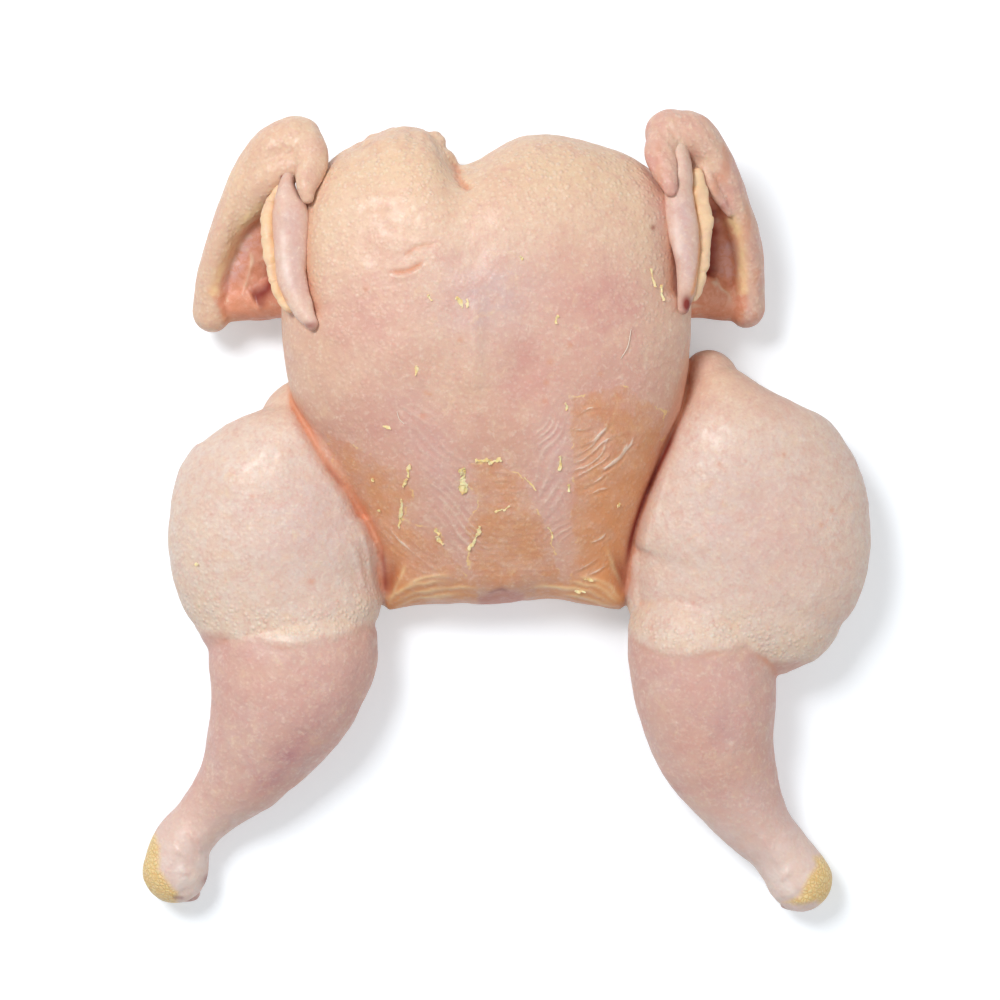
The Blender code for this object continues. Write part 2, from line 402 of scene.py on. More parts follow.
def normals_of(mesh):
    values = np.empty(len(mesh.vertices) * 3, np.float32)
    mesh.vertex_normals.foreach_get("vector", values)
    return values.reshape(-1, 3).astype(float)


def set_points(mesh, points):
    mesh.vertices.foreach_set("co", (points * MM).astype(np.float32).ravel())
    mesh.update()


def set_field(mesh, name, values):
    field = mesh.attributes.get(name) or mesh.attributes.new(name, "FLOAT", "POINT")
    field.data.foreach_set("value", np.asarray(values, np.float32))


def hollowness(mesh, points, normals, rounds):
    """How far each point lies below its neighbours' mean along the normal, averaged over some rounds."""
    edges = np.empty(len(mesh.edges) * 2, np.int32)
    mesh.edges.foreach_get("vertices", edges)
    a, b = edges[0::2], edges[1::2]
    count = len(points)
    degree = np.bincount(a, minlength=count) + np.bincount(b, minlength=count)

    def mean_of_neighbours(values):
        return (np.bincount(a, values[b], count) + np.bincount(b, values[a], count)) / degree

    smooth = points.copy()
    for _ in range(rounds):
        smooth = np.stack([mean_of_neighbours(smooth[:, k]) for k in range(3)], axis=1)
    depth = ((smooth - points) * normals).sum(axis=1)
    for _ in range(2):
        depth = mean_of_neighbours(depth)
    return depth


# ---------------------------------------------------------------------------------------------
# The body's skin
# ---------------------------------------------------------------------------------------------

# Where the thighs meet the trunk, in plan.
CREASE_LEFT = [(-96, 56), (-88, 38), (-77, 20), (-67, 6), (-59, -7), (-54, -20), (-55, -38)]
CREASE_RIGHT = [(81, 74), (78, 59), (70, 30), (62, 11), (57, -7), (54, -20), (53, -38)]

# Where the thick skin of each thigh ends over the drumstick.
EDGE_LEFT = [(-150, -50), (-131, -52), (-116, -54), (-94, -57), (-73, -54), (-55, -46)]
EDGE_RIGHT = [(50, -50), (58, -56), (68, -61), (85, -61), (104, -57), (116, -65), (140, -66)]

# Patches of yellow-brown outer skin left on the belly, in plan.
PATCH_MIDDLE = [
    (-16, 23), (-3, 22), (6, 17), (10, 6), (18, -4), (21, -19), (25, -36), (-13, -36), (-17, -19), (-18, -6),
    (-13, 6), (-17, 15),
]
PATCH_LEFT = [
    (-80, 37), (-48, 19), (-41, 10), (-45, -2), (-30, -7), (-22, -22), (-12, -34), (-55, -42), (-58, -15),
    (-72, 11),
]
PATCH_RIGHT = [
    (26, 50), (29, 24), (28, 6), (30, -19), (27, -37), (53, -42), (56, -11), (67, 19), (69, 45), (49, 56),
]
VENT = [(-2, -31), (8, -35.5), (9, -44), (-14, -44), (-13, -37)]

# Yellow scaly skin left on each hock.
SCALES_LEFT = [(-156, -142), (-153.5, -147), (-153.5, -157), (-150, -161), (-145.5, -168), (-148, -180),
               (-175, -180), (-175, -142)]
SCALES_RIGHT = [(136, -152), (142, -151), (155, -160), (150, -178), (137, -172.5), (131, -173.5),
                (122, -173), (129, -169), (130.5, -165), (133, -161), (136.5, -156)]

# Folds of skin in plan, and how deep the skin is pressed under each hand.
CORNER_FOLDS = [
    [(-54, -40), (-47.5, -29), (-44, -20)],
    [(-55, -36), (-40, -30.5), (-24, -29)],
    [(-54, -38), (-38, -34), (-20, -32.5), (-6, -32.5)],
    [(-54, -40), (-36, -36.5), (-16, -35)],
    [(-46, -31), (-34, -27), (-22, -27)],
    [(53, -39), (38, -33.5), (20, -33), (4, -33)],
    [(53, -36), (42, -29), (30, -27)],
    [(54, -33), (47, -24), (43, -12)],
    [(53, -40), (38, -36.5), (22, -36)],
    [(53, -37.5), (40, -31), (26, -30)],
]
LEG_FOLDS = [
    [(-64, 8), (-58, -6), (-57, -24)],
    [(-67, 0), (-61, -14), (-59, -34)],
    [(-71, -8), (-65, -20), (-62, -36)],
    [(64, 4), (61, -10), (59, -26)],
    [(72, 22), (66, 6), (64, -8)],
]
BELLY_WRINKLES = [
    [(25, 37.6), (32, 36.2), (39, 38.1)],
    [(28.7, 41.8), (33.4, 44.6), (40, 46)],
    [(29.6, 29.7), (37.1, 32), (43.6, 38)],
    [(25, 24.6), (32.4, 27), (39, 32.5), (43.6, 38.1), (50, 41)],
    [(25, 21.4), (33.4, 24.2), (41.2, 31.1), (48, 34)],
    [(25, 17.7), (32.4, 20.4), (39.9, 25.1), (42.6, 31.6), (46.4, 34.3)],
    [(26.9, 14.9), (35.2, 19.5), (41.7, 23.2), (46, 29)],
    [(35.2, 18.6), (43.6, 20.4), (49.1, 25.1), (57, 37)],
    [(38, 16.7), (45.4, 22.3), (50, 27.8), (53, 34)],
    [(29.6, 11.6), (37.1, 14.4), (43.6, 18.1)],
    [(33, 8), (40, 11), (46, 12)],
    [(36, -12), (41, -10), (44, -6)],
    [(28, -25), (36, -22), (42, -17)],
    [(31, -29), (39, -25), (46, -20)],
]
BELLY_STRETCH = [
    [(-9, 16.5), (0, 14.5), (10, 14)],
    [(-7, 19), (1, 17.5), (9, 15.5)],
    [(-11, 11), (-2, 9.5), (7, 10)],
    [(-62, 14), (-52, 0), (-42, -10), (-31, -21), (-20, -29), (-10, -33)],
    [(-58, 3), (-48, -10), (-37, -19), (-26, -27), (-16, -32)],
    [(-53, -4), (-44, -14), (-34, -22), (-23, -30)],
    [(-46, -2), (-38, -10), (-29, -20), (-21, -27)],
]
HOCK_RIDGES = [
    [(-148, -147), (-142, -151), (-138, -157)], [(-141, -139), (-137, -146), (-135, -152)],
    [(-146, -156), (-140, -160)], [(112, -140), (118, -150), (122, -158)], [(126, -156), (121, -163)],
]
# Where each wing's hand lies on the body: the skin is pressed into a trough there, and shade is painted into it.
HAND_LEFT_LINE = [(-92, 150), (-90, 130), (-89, 107), (-86, 92), (-82, 82)]
HAND_RIGHT_LINE = [(74, 150), (74, 130), (74, 108), (74, 92)]
COLLAR = [(-40, 164.5, 47, 3, 4), (-33, 164, 50, 3.2, 4), (-29, 161, 51, 3, 4), (-25.5, 156, 51, 2.6, 4),
          (-22.5, 151.5, 50, 2.2, 3)]


def patch_field(points, outline):
    """Signed distance in plan from a closed outline, positive inside it."""
    ring = np.array(outline + outline[:1], float)
    distance, _ = reach_of(points, ring)
    x, y = points[:, :1], points[:, 1:2]
    ax, ay, bx, by = ring[:-1, 0], ring[:-1, 1], ring[1:, 0], ring[1:, 1]
    crossing = ((ay > y) != (by > y)) & (x < (bx - ax) * (y - ay) / (by - ay + 1e-9) + ax)
    return np.where(crossing.sum(axis=1) % 2 == 1, distance, -distance)


def strokes(points, paths, width, taper=0.3):
    """Several strokes of one width added up."""
    return sum(stroke(points, path, width, taper) for path in paths)


def line_at(values, path, axis):
    """The other plan coordinate of a path where its given axis (0 for x, 1 for y) has these values."""
    table = np.array(sorted(path, key=lambda point: point[axis]), float)
    return np.interp(values, table[:, axis], table[:, 1 - axis])


def body_relief(p, n):
    """Lifts and hollows of the body's skin.

    Ridges and creases are bells across broken lines in plan, hollows are oval bells and ripples are
    bent sines; they are added along Z where the skin faces up. The lumps are value noise along the
    normal. Also gives the fields that colour the same folds.
    """
    x, y = p[:, 0], p[:, 1]
    up = ramp(n[:, 2], 0.05, 0.5)
    on_trunk = ramp(x - line_at(y, CREASE_LEFT, 1), -1, 3) * ramp(line_at(y, CREASE_RIGHT, 1) - x, -1, 3)
    on_trunk = on_trunk * ramp(y, -46, -42)

    dz = 1.2 * stroke(p, [(-13, 96), (-14, 70), (-14, 46)], 3.6)
    dz -= 2.8 * blob(p, (8, 62), (13, 20))
    dz -= 1.4 * blob(p, (-30, 60), (11, 22))
    dz -= 1.6 * stroke(p, [(-21, 150), (-17, 122), (-14, 96)], 9)
    dz -= 2.6 * stroke(p, [(-23, 153), (-20, 143), (-13, 137)], 2.2, 0.3)
    dz -= 1.0 * stroke(p, [(-51, 103), (-42, 103.5), (-34, 108)], 0.9)
    dz += 0.5 * stroke(p, [(-51, 101), (-42, 101.5), (-34, 106)], 1.3)
    dz -= 0.6 * stroke(p, [(-45, 108), (-39, 113), (-29, 115)], 0.8)

    shaky = p + np.stack([0.8 * noise(p, 5, 31), 0.8 * noise(p, 5, 33), 0 * x], axis=1)
    wrinkle = strokes(shaky, BELLY_WRINKLES, 0.5) * (0.7 + 0.55 * noise(p, 5, 35))
    groove = strokes(shaky, [[(a + 0.6, b - 1.2) for a, b in path] for path in BELLY_WRINKLES], 0.6)
    stretch = strokes(shaky, BELLY_STRETCH, 0.6) * (0.6 + 0.5 * noise(p, 6, 37))
    tract_left = stroke(p, [(-42, 52), (-30, 22), (-12, -22)], 11, 0.15)
    tract_right = stroke(p, [(22, 54), (17, 20), (24, -16)], 8, 0.15)
    ripple = waves(p, -44, 3.5, 2.5, 11) * tract_left + waves(p, 58, 3.6, 4.5, 17) * tract_right
    ripple += waves(p, 2, 2.8, 2.0, 23) * blob(p, (2, -8), (17, 26)) * 0.55
    ripple += waves(p, -38, 3.0, 3.0, 25) * blob(p, (-44, -12), (16, 16), -30) * 0.5
    ripple *= 0.6 + 0.5 * noise(p, 9, 29)
    dz += sizes().wrinkle_height / MM * (wrinkle - 0.65 * groove + 0.5 * ripple + 0.65 * stretch)

    corner = strokes(shaky, CORNER_FOLDS, 0.85) * (0.75 + 0.35 * noise(p, 7, 39))
    dz += 0.9 * corner
    dz -= 3.0 * blob(p, (-50.5, -28), (3, 9), -10) + 3.0 * blob(p, (49.5, -26), (4, 9), 12)
    vent = patch_field(p, VENT)
    dz -= 1.8 * ramp(vent, -0.8, 2.5)
    dz *= on_trunk

    leg_fold = strokes(p, LEG_FOLDS, 1.1, 0.35)
    dz += 0.7 * leg_fold * (1 - on_trunk)
    dz -= 2.2 * (stroke(p, CREASE_LEFT, 2.4, 0.1) + stroke(p, CREASE_RIGHT, 2.4, 0.1))
    dz -= 3.0 * (stroke(p, HAND_LEFT_LINE, 5.5, 0.1) + stroke(p, HAND_RIGHT_LINE, 5.5, 0.1))

    edge = np.where(x < 0, line_at(x, EDGE_LEFT, 0), line_at(x, EDGE_RIGHT, 0)) + 0.9 * noise(p, 6, 41)
    above = y - edge
    leg = ramp(np.abs(x), 50, 56) * (1 - on_trunk)
    out = sizes().thigh_edge / MM * ramp(above, -2.2, 2.0) * bell(np.maximum(above, 0), 0, 18) * leg
    out += 0.5 * noise(p, 17, 3) + 0.25 * noise(p, 6.5, 7) + 0.09 * noise(p, 2.8, 13)
    cut_ends = blob(p, (-141, -168), (9, 6)) + blob(p, (128, -171), (10, 6))
    out += 0.8 * noise(p, 3.5, 55) * cut_ends + 0.8 * strokes(p, HOCK_RIDGES, 1.2)
    out += 1.2 * ramp(y, 148, 160) * ramp(-x, 18, 26) * noise(p, 5, 9)

    moved = p + n * out[:, None]
    moved[:, 2] += dz * up
    lip = ramp(-y, 22, 38) * on_trunk
    moved[:, 1] += lip * (2.0 * bell(x, 16, 12) - 3.0 * ramp(np.abs(x + 2), 30, 54) + 0.9 * noise(p, 11, 43))
    moved[:, 2] = np.maximum(moved[:, 2], 0.25)
    fields = {
        # fold, corner and ripple mark crests where a highlight is painted, and ripple also marks troughs where shade is
        # painted; line marks painted shade just under the thigh's skin edge.
        "fold": (wrinkle + 0.5 * stretch + 0.3 * leg_fold) * up,
        "corner": corner * up * on_trunk,
        "ripple": ripple * up * on_trunk,
        "margin": bell(above, 8, 8) * leg * ramp(above + 1.5 * noise(p, 4, 45), -2.5, 2.5),
        "below": ramp(-above + 1.5 * noise(p, 4, 45), -3.5, 3.5) * leg,
        "line": bell(above, -0.8, 1.1) * leg * ramp(noise(p, 9, 47), -0.2, 0.6),
        "trunk": on_trunk,
        "vent": vent,
    }
    return moved, fields


def body_colours(p, n, hollow, fields):
    """The body's colour fields, from 0 to 1 but for patch and scale, which are signed distances in mm."""
    up = ramp(n[:, 2], -0.2, 0.4)
    x, y = p[:, 0], p[:, 1]
    below, trunk = fields["below"], fields["trunk"]
    ankle = ramp(-y, 118, 150)
    pink = (
        0.75 * blob(p, (-60, 86), (24, 19))
        + 1.0 * blob(p, (40, 90), (24, 20))
        + 0.6 * blob(p, (46, 52), (20, 24))
        + 0.95 * blob(p, (8, 60), (14, 20))
        + 0.45 * blob(p, (-52, 40), (26, 18))
        + 0.7 * blob(p, (66, 134), (7, 26), 10)
        + 0.35 * blob(p, (120, -10), (18, 30))
        + 0.25 * ramp(70 - y, 0, 50) * trunk
        + 0.45 * below * (1 - 0.6 * ankle) * (1 + 0.6 * noise(p, 11, 46))
        + 0.6 * strokes(p, HOCK_RIDGES, 2.2)
    )
    lilac = (
        0.9 * blob(p, (-8, 92), (26, 20))
        + 0.7 * blob(p, (-34, 26), (13, 30), 25)
        + 0.7 * blob(p, (20, 20), (9, 34))
        + 0.55 * blob(p, (-84, -6), (22, 24))
        + 0.4 * blob(p, (100, -2), (26, 30))
        + 0.6 * below * (1 + 0.6 * noise(p, 14, 48))
    )
    bruise = (
        0.6 * blob(p, (-94, -103), (14, 8), 45)
        + 0.55 * blob(p, (-104, -115), (13, 5), 38)
        + 0.35 * blob(p, (-80, -84), (8, 14), -20)
        + 0.3 * blob(p, (92, -92), (12, 12))
    ) * up * (0.85 + 0.5 * noise(p, 5, 50))
    cream = (
        0.9 * blob(p, (-46, 150), (36, 20))
        + 0.9 * blob(p, (27, 150), (40, 20))
        + 0.7 * blob(p, (-84, 112), (18, 38))
        + 0.6 * blob(p, (62, 118), (14, 34))
        + 1.0 * fields["margin"]
        + 0.5 * blob(p, (-140, -22), (16, 28))
        + 0.8 * blob(p, (-113, -101), (13, 8), 30)
        + 0.5 * stroke(p, [(-116, -100), (-128, -122), (-139, -136)], 4)
        + 0.4 * blob(p, (100, -112), (10, 9), -40)
    )
    patch = np.maximum(
        np.maximum(patch_field(p, PATCH_MIDDLE), patch_field(p, PATCH_LEFT)), patch_field(p, PATCH_RIGHT)
    )
    patch = np.where((trunk > 0.5) & (n[:, 2] > -0.3), patch, -6)
    orange = (
        0.8 * stroke(p, [(-55, -40), (-32, -36), (-12, -34)], 5, 0.05)
        + 0.8 * stroke(p, [(12, -35), (40, -36), (55, -40)], 6, 0.05)
        + 0.9 * blob(p, (-49, -29), (8, 11))
        + 0.9 * blob(p, (47, -26), (11, 14))
        + 0.5 * blob(p, (57, 14), (8, 22), -20)
        + 0.55 * blob(p, (42, 0), (14, 26), -10)
        + 0.3 * blob(p, (-50, 8), (14, 18), -30)
    ) * trunk
    # crease: red-brown painted shade in the creases between the thighs and the trunk, in the hollows the mesh finds,
    # just under the thigh's skin edge, in the small folds at the left shoulder and under the wings' hands.
    crease = 0.55 * (stroke(p, CREASE_LEFT, 2.6, 0.08) + stroke(p, CREASE_RIGHT, 3.0, 0.08))
    crease = crease + 0.8 * ramp(hollow, 0.05, 0.6) + 0.3 * fields["line"]
    crease = crease + 0.8 * stroke(p, [(-51, 103), (-42, 103.5), (-34, 108)], 0.9)
    crease = crease + 0.5 * stroke(p, [(-45, 108), (-39, 113), (-29, 115)], 0.7)
    crease = crease + 0.8 * (stroke(p, HAND_LEFT_LINE, 5, 0.1) + stroke(p, HAND_RIGHT_LINE, 5, 0.1))
    # deep: dark red painted shade in the pockets at the vent's corners, along the creases between the thighs and the
    # trunk, in the vent's mouth, under the wings' hands and where the left joint end meets the skin, plus two small
    # dark spots.
    deep = (
        0.55 * blob(p, (-51, -29), (2.6, 8), -10)
        + 0.65 * blob(p, (50.5, -27), (3, 9), 12)
        + 0.95 * stroke(p, [(76, 44), (71, 31), (64, 16), (57, -2), (54, -14), (52, -28)], 1.4, 0.2)
        + 0.4 * stroke(p, [(-80, 24), (-76, 18), (-70, 11)], 1.2, 0.3)
        + 0.5 * stroke(p, [(-9, -35), (-3, -32.8), (1.5, -33.8)], 0.7)
        + 0.6 * stroke(p, [(-56, -12), (-54, -24), (-54, -38)], 1.5, 0.3)
        + 0.5 * (stroke(p, HAND_LEFT_LINE, 2.5, 0.1) + stroke(p, HAND_RIGHT_LINE, 2.5, 0.1))
        + 0.9 * blob(p, (-133.5, -163), (1.6, 3.0), -25)
        + 0.5 * stroke(p, [(-149, -170), (-143, -170.5)], 0.9)
        + 0.7 * blob(p, (62.5, 123), (1.1, 1.1))
    )
    blood = sum(
        0.8 * blob(p, place, (1.3, 1.3))
        for place in ((16.6, 56.6), (16.1, 48.5), (18.3, 65), (26.8, 72), (-36, 42), (-84.5, -29), (92, 22),
                      (141, 2), (136.5, -4.5), (-60, 96), (40, 60), (-20, 74), (120, 26), (-110, 8))
    ) + 0.7 * stroke(p, [(-36, 53), (-33.6, 51.5), (-31, 51)], 0.8)
    scale = np.maximum(patch_field(p, SCALES_LEFT), patch_field(p, SCALES_RIGHT))
    white = ankle * (0.5 + 0.5 * blob(p, (-141, -160), (12, 12)) + 0.5 * blob(p, (124, -162), (9, 12)))
    return {
        "pink": pink,
        "lilac": lilac,
        "bruise": bruise,
        "cream": cream,
        "belly": ramp(85 - y, 0, 60) * trunk,
        "pale": 0.75 * (1 - trunk) * (1 - below) * ramp(60 - y, 0, 30),
        "patch": np.clip(patch, -6, 6),
        "orange": orange,
        # yellow: the crests of the folds at the vent's corners, the fat's own yellow lightened as a painted highlight.
        "yellow": 0.85 * fields["corner"],
        "vent": np.clip(fields["vent"], -6, 6) * trunk - 6 * (1 - trunk),
        "crease": crease,
        "deep": deep,
        "blood": blood,
        "fold": fields["fold"],
        "ripple": fields["ripple"],
        "scale": np.clip(scale, -6, 6),
        "white": white,
        "raw": np.full(len(p), -6.0),
        "pimple": 0.35 + 0.65 * cream * (1 - below),
    }


SIGNED_FIELDS = ("patch", "scale", "ripple", "vent", "raw")


def set_fields(mesh, fields):
    for name, values in fields.items():
        set_field(mesh, name, values if name in SIGNED_FIELDS else np.clip(values, 0, 1))


def body_mesh():
    surfaces = [trunk_surface(), tube(COLLAR, 40, 24, 4, lobes=5)]
    surfaces += [tube(stations) for stations in LIMBS.values()]
    mesh = fused("body_skin", surfaces, sizes().body_cell, BODY_SOFTEN)
    p, n = points_of(mesh), normals_of(mesh)
    moved, fields = body_relief(p, n)
    set_points(mesh, moved)
    n = normals_of(mesh)
    set_fields(mesh, body_colours(moved, n, hollowness(mesh, moved, n, HOLLOW_ROUNDS), fields))
    mesh.shade_smooth()
    return mesh


# ---------------------------------------------------------------------------------------------
# The wings
# ---------------------------------------------------------------------------------------------

# Fused parts of each wing, then the closed parts that lie against them. Columns as for the limbs.
WING_FLESH = {
    "left": {
        "band": [
            (-131, 91, 20, 9, 11), (-130, 106, 26, 7.2, 11), (-123.6, 124, 34, 7.4, 11.5),
            (-115.5, 140.5, 41, 8.6, 12), (-109.5, 149, 44, 10, 12), (-101, 158, 48, 11.2, 12.5),
            (-92, 162, 50, 11.5, 12),
        ],
        "arm": [(-88, 100, 28, 14, 15), (-100, 98, 24, 11, 12.5), (-118, 95, 20, 9, 10), (-130, 93, 18, 8, 10)],
        "web": [(-111, 98, 22, 18, 7), (-111, 118, 29, 16, 7), (-104, 140, 38, 13, 8)],
        "thumb": [
            (-90, 163, 52, 10, 9), (-85.4, 157, 57, 8.2, 7.5), (-84.2, 151, 60.5, 7.2, 6),
            (-85.2, 145, 63.5, 6, 5), (-86, 140, 66, 4.4, 4), (-85.6, 136, 67, 3, 2.6),
        ],
        "bridge": [
            (-90, 152, 55, 7, 7), (-98, 150, 53.5, 8, 8), (-105, 145, 50.5, 8.5, 8.5), (-111, 138, 45.5, 8, 8.5),
            (-117, 129, 39, 5.5, 8), (-121, 121, 34, 4, 7), (-125, 110, 28.5, 3.5, 6.5), (-128, 98, 23, 3, 6),
        ],
    },
    "right": {
        "band": [
            (106.5, 93, 20, 8.6, 11), (107, 110.9, 26, 7, 11), (104.4, 123, 32, 7, 11.5),
            (100, 134.6, 37, 7.2, 12), (94.4, 146.4, 42, 8, 12), (88.4, 156.8, 46, 8.6, 12),
            (81, 164.5, 49, 10, 12.5), (71.5, 165.5, 50, 11, 12),
        ],
        "arm": [(74, 100, 28, 14, 15), (86, 98, 24, 11, 12.5), (98, 95, 20, 9, 10), (105, 94, 18, 8, 10)],
        "web": [(90, 100, 21, 15, 7), (90, 119, 27, 14, 7), (86, 138, 37, 11, 8), (83, 150, 46, 8, 7)],
        "thumb": [
            (72, 166, 52, 9.5, 9), (66.5, 157.4, 58, 7.4, 7), (67.8, 149, 62.5, 6, 5), (70, 141.5, 65.5, 4, 3.6),
            (70.3, 139, 66, 3.2, 2.6),
        ],
        "lip": [(85, 154, 52, 3, 4), (88, 144.5, 53, 2.4, 3.4), (91.8, 137.5, 51, 2.2, 3), (96.8, 131, 48, 1.6, 2)],
    },
}
WING_HANDS = {
    "left": [
        (-92, 156, 48, 4, 5), (-93.8, 149, 54, 3.4, 4.6), (-94.8, 142, 59, 3.6, 4.8), (-94.4, 136, 61.5, 5.8, 5),
        (-93.4, 130, 63, 8, 5), (-93, 119, 63.5, 7.6, 4.6), (-93, 107, 64, 6.7, 4.4), (-91.4, 98, 65, 6.2, 4),
        (-87.2, 87.5, 67.5, 4.6, 3.2), (-83.2, 81.5, 69.5, 2.6, 2.2),
    ],
    "right": [
        (73.5, 160, 54, 5, 6), (75.2, 153, 58, 4.2, 5.5), (75.3, 146, 60, 5, 5), (74, 137.5, 61, 6.3, 4.8),
        (76, 122.4, 62, 6.8, 4.8), (77.7, 108.2, 62, 5, 4.6), (77.2, 97.4, 61.5, 4, 4), (76, 89, 61, 2.6, 2.8),
    ],
}
WING_FRILLS = {
    "left": [
        (-98, 142, 56, 1.8, 2), (-101, 135.5, 57.5, 3, 2.2), (-102.4, 129, 58.5, 4, 2.2), (-102.2, 121, 59.5, 4, 2.2),
        (-101.2, 112, 60.5, 3.8, 2.2), (-100, 104, 61, 3.6, 2.2), (-97.4, 96.5, 61.5, 3.4, 2), (-94, 89, 62.5, 2.4, 1.8),
    ],
    "right": [
        (82, 148, 56, 2.6, 2), (83, 139, 57.5, 4.2, 2.2), (84.4, 129.3, 58.5, 4.4, 2.2), (84.5, 119.3, 58.5, 4.2, 2.2),
        (83.6, 110, 59, 4, 2.2), (82, 101.2, 59.5, 3.4, 2), (79.8, 93.5, 59.5, 2.2, 1.8),
    ],
}
FRILL_LOBES = {"left": 11, "right": 9}

# Marks on the wings, in plan. shine leads a painted highlight along the hand; dark, slit and roll lead painted shade in
# the fold, and roll also the orange skin there.
WING_MARKS = {
    "left": {
        "hollow": [(-131, 98), (-126, 108), (-118.5, 122.5), (-112, 131), (-104, 136), (-98, 130), (-98, 96),
                   (-96, 84), (-110, 84), (-125, 88)],
        "purple": [(-128, 97), (-119, 113), (-110, 128)],
        "tissue": [(-111.5, 119), (-113, 108), (-116, 99), (-119, 94)],
        "dark": [(-101, 110), (-103, 103), (-107, 98), (-113, 95)],
        "roll": [(-127, 86), (-112, 90), (-100, 93)],
        "inner_edge": [(-130, 95), (-125.5, 107), (-117.8, 122), (-112, 130), (-104, 135)],
        "slit": [(-97.4, 147), (-95.9, 142)],
        "shine": [(-96.5, 126), (-96, 114), (-94.5, 103), (-91, 94)],
    },
    "right": {
        "hollow": [(106, 92), (105, 104), (103, 120), (97, 131), (90, 140), (84, 142), (76, 132), (76, 84), (100, 84)],
        "purple": [(98, 103), (98.5, 112), (96, 122)],
        "tissue": [(94, 110), (92.5, 104), (97, 98), (100, 90)],
        "dark": [(89, 136), (89, 120), (88, 104)],
        "roll": [(84, 92), (94, 90), (106, 88)],
        "inner_edge": [(104.5, 96), (103.5, 108), (102, 121), (97, 131)],
        "slit": [(73.8, 155), (74.2, 147), (73.6, 139.5)],
        "shine": [(71.5, 130), (73, 118), (74.5, 108)],
    },
}


def wing_mesh(side):
    """A wing: its fused flesh, and the hand and frill that lie against it as closed tubes."""
    surfaces = [tube(stations, 80, 48) for stations in WING_FLESH[side].values()]
    flesh = fused("wing_flesh", surfaces, sizes().wing_cell, WING_SOFTEN)
    p, n = points_of(flesh), normals_of(flesh)
    marks = WING_MARKS[side]
    inside = ramp(patch_field(p, marks["hollow"]), -1, 3) * ramp(n[:, 2], 0, 0.5)
    bent = p + np.stack([1.2 * noise(p, 4, 91), 1.2 * noise(p, 4, 93), 0 * p[:, 0]], axis=1)
    dz = 0.7 * stroke(bent, marks["tissue"], 0.9) + 0.5 * noise(p, 3.2, 51) - 2.2 * stroke(p, marks["dark"], 5, 0.1)
    out = 0.35 * noise(p, 9, 53) + 0.14 * noise(p, 4, 55)
    along = waves(p, 62 if side == "left" else 118, 4.2, 5, 57)
    out += (0.06 if side == "left" else 0.14) * along * ramp(n[:, 2], 0, 0.5) * (1 - inside)
    p = p + n * out[:, None]
    p[:, 2] = np.maximum(p[:, 2] + dz * inside, 0.25)
    set_points(flesh, p)

    hand = tube(WING_HANDS[side], 120, 48, 6)
    frill = tube(WING_FRILLS[side], 200, 32, 4, lobes=FRILL_LOBES[side], lobe_depth=0.1)
    parts = []
    for surface, bumps in ((hand, 0.3), (frill, 0.75)):
        points = surface[0] + bumps * np.stack([noise(surface[0], 4, seed) for seed in (61, 63, 65)], axis=1)
        parts.append((points, *surface[1:]))
    mesh = merged("wing_" + side, flesh, parts)
    p, n = points_of(mesh), normals_of(mesh)
    kind = np.concatenate([np.full(len(points), i) for i, points in enumerate([flesh.vertices, *[q[0] for q in parts]])])
    hollow = hollowness(mesh, p, n, WING_HOLLOW_ROUNDS)
    set_fields(mesh, wing_colours(side, p, n, kind, hollow))
    bpy.data.meshes.remove(flesh)
    mesh.shade_smooth()
    return mesh


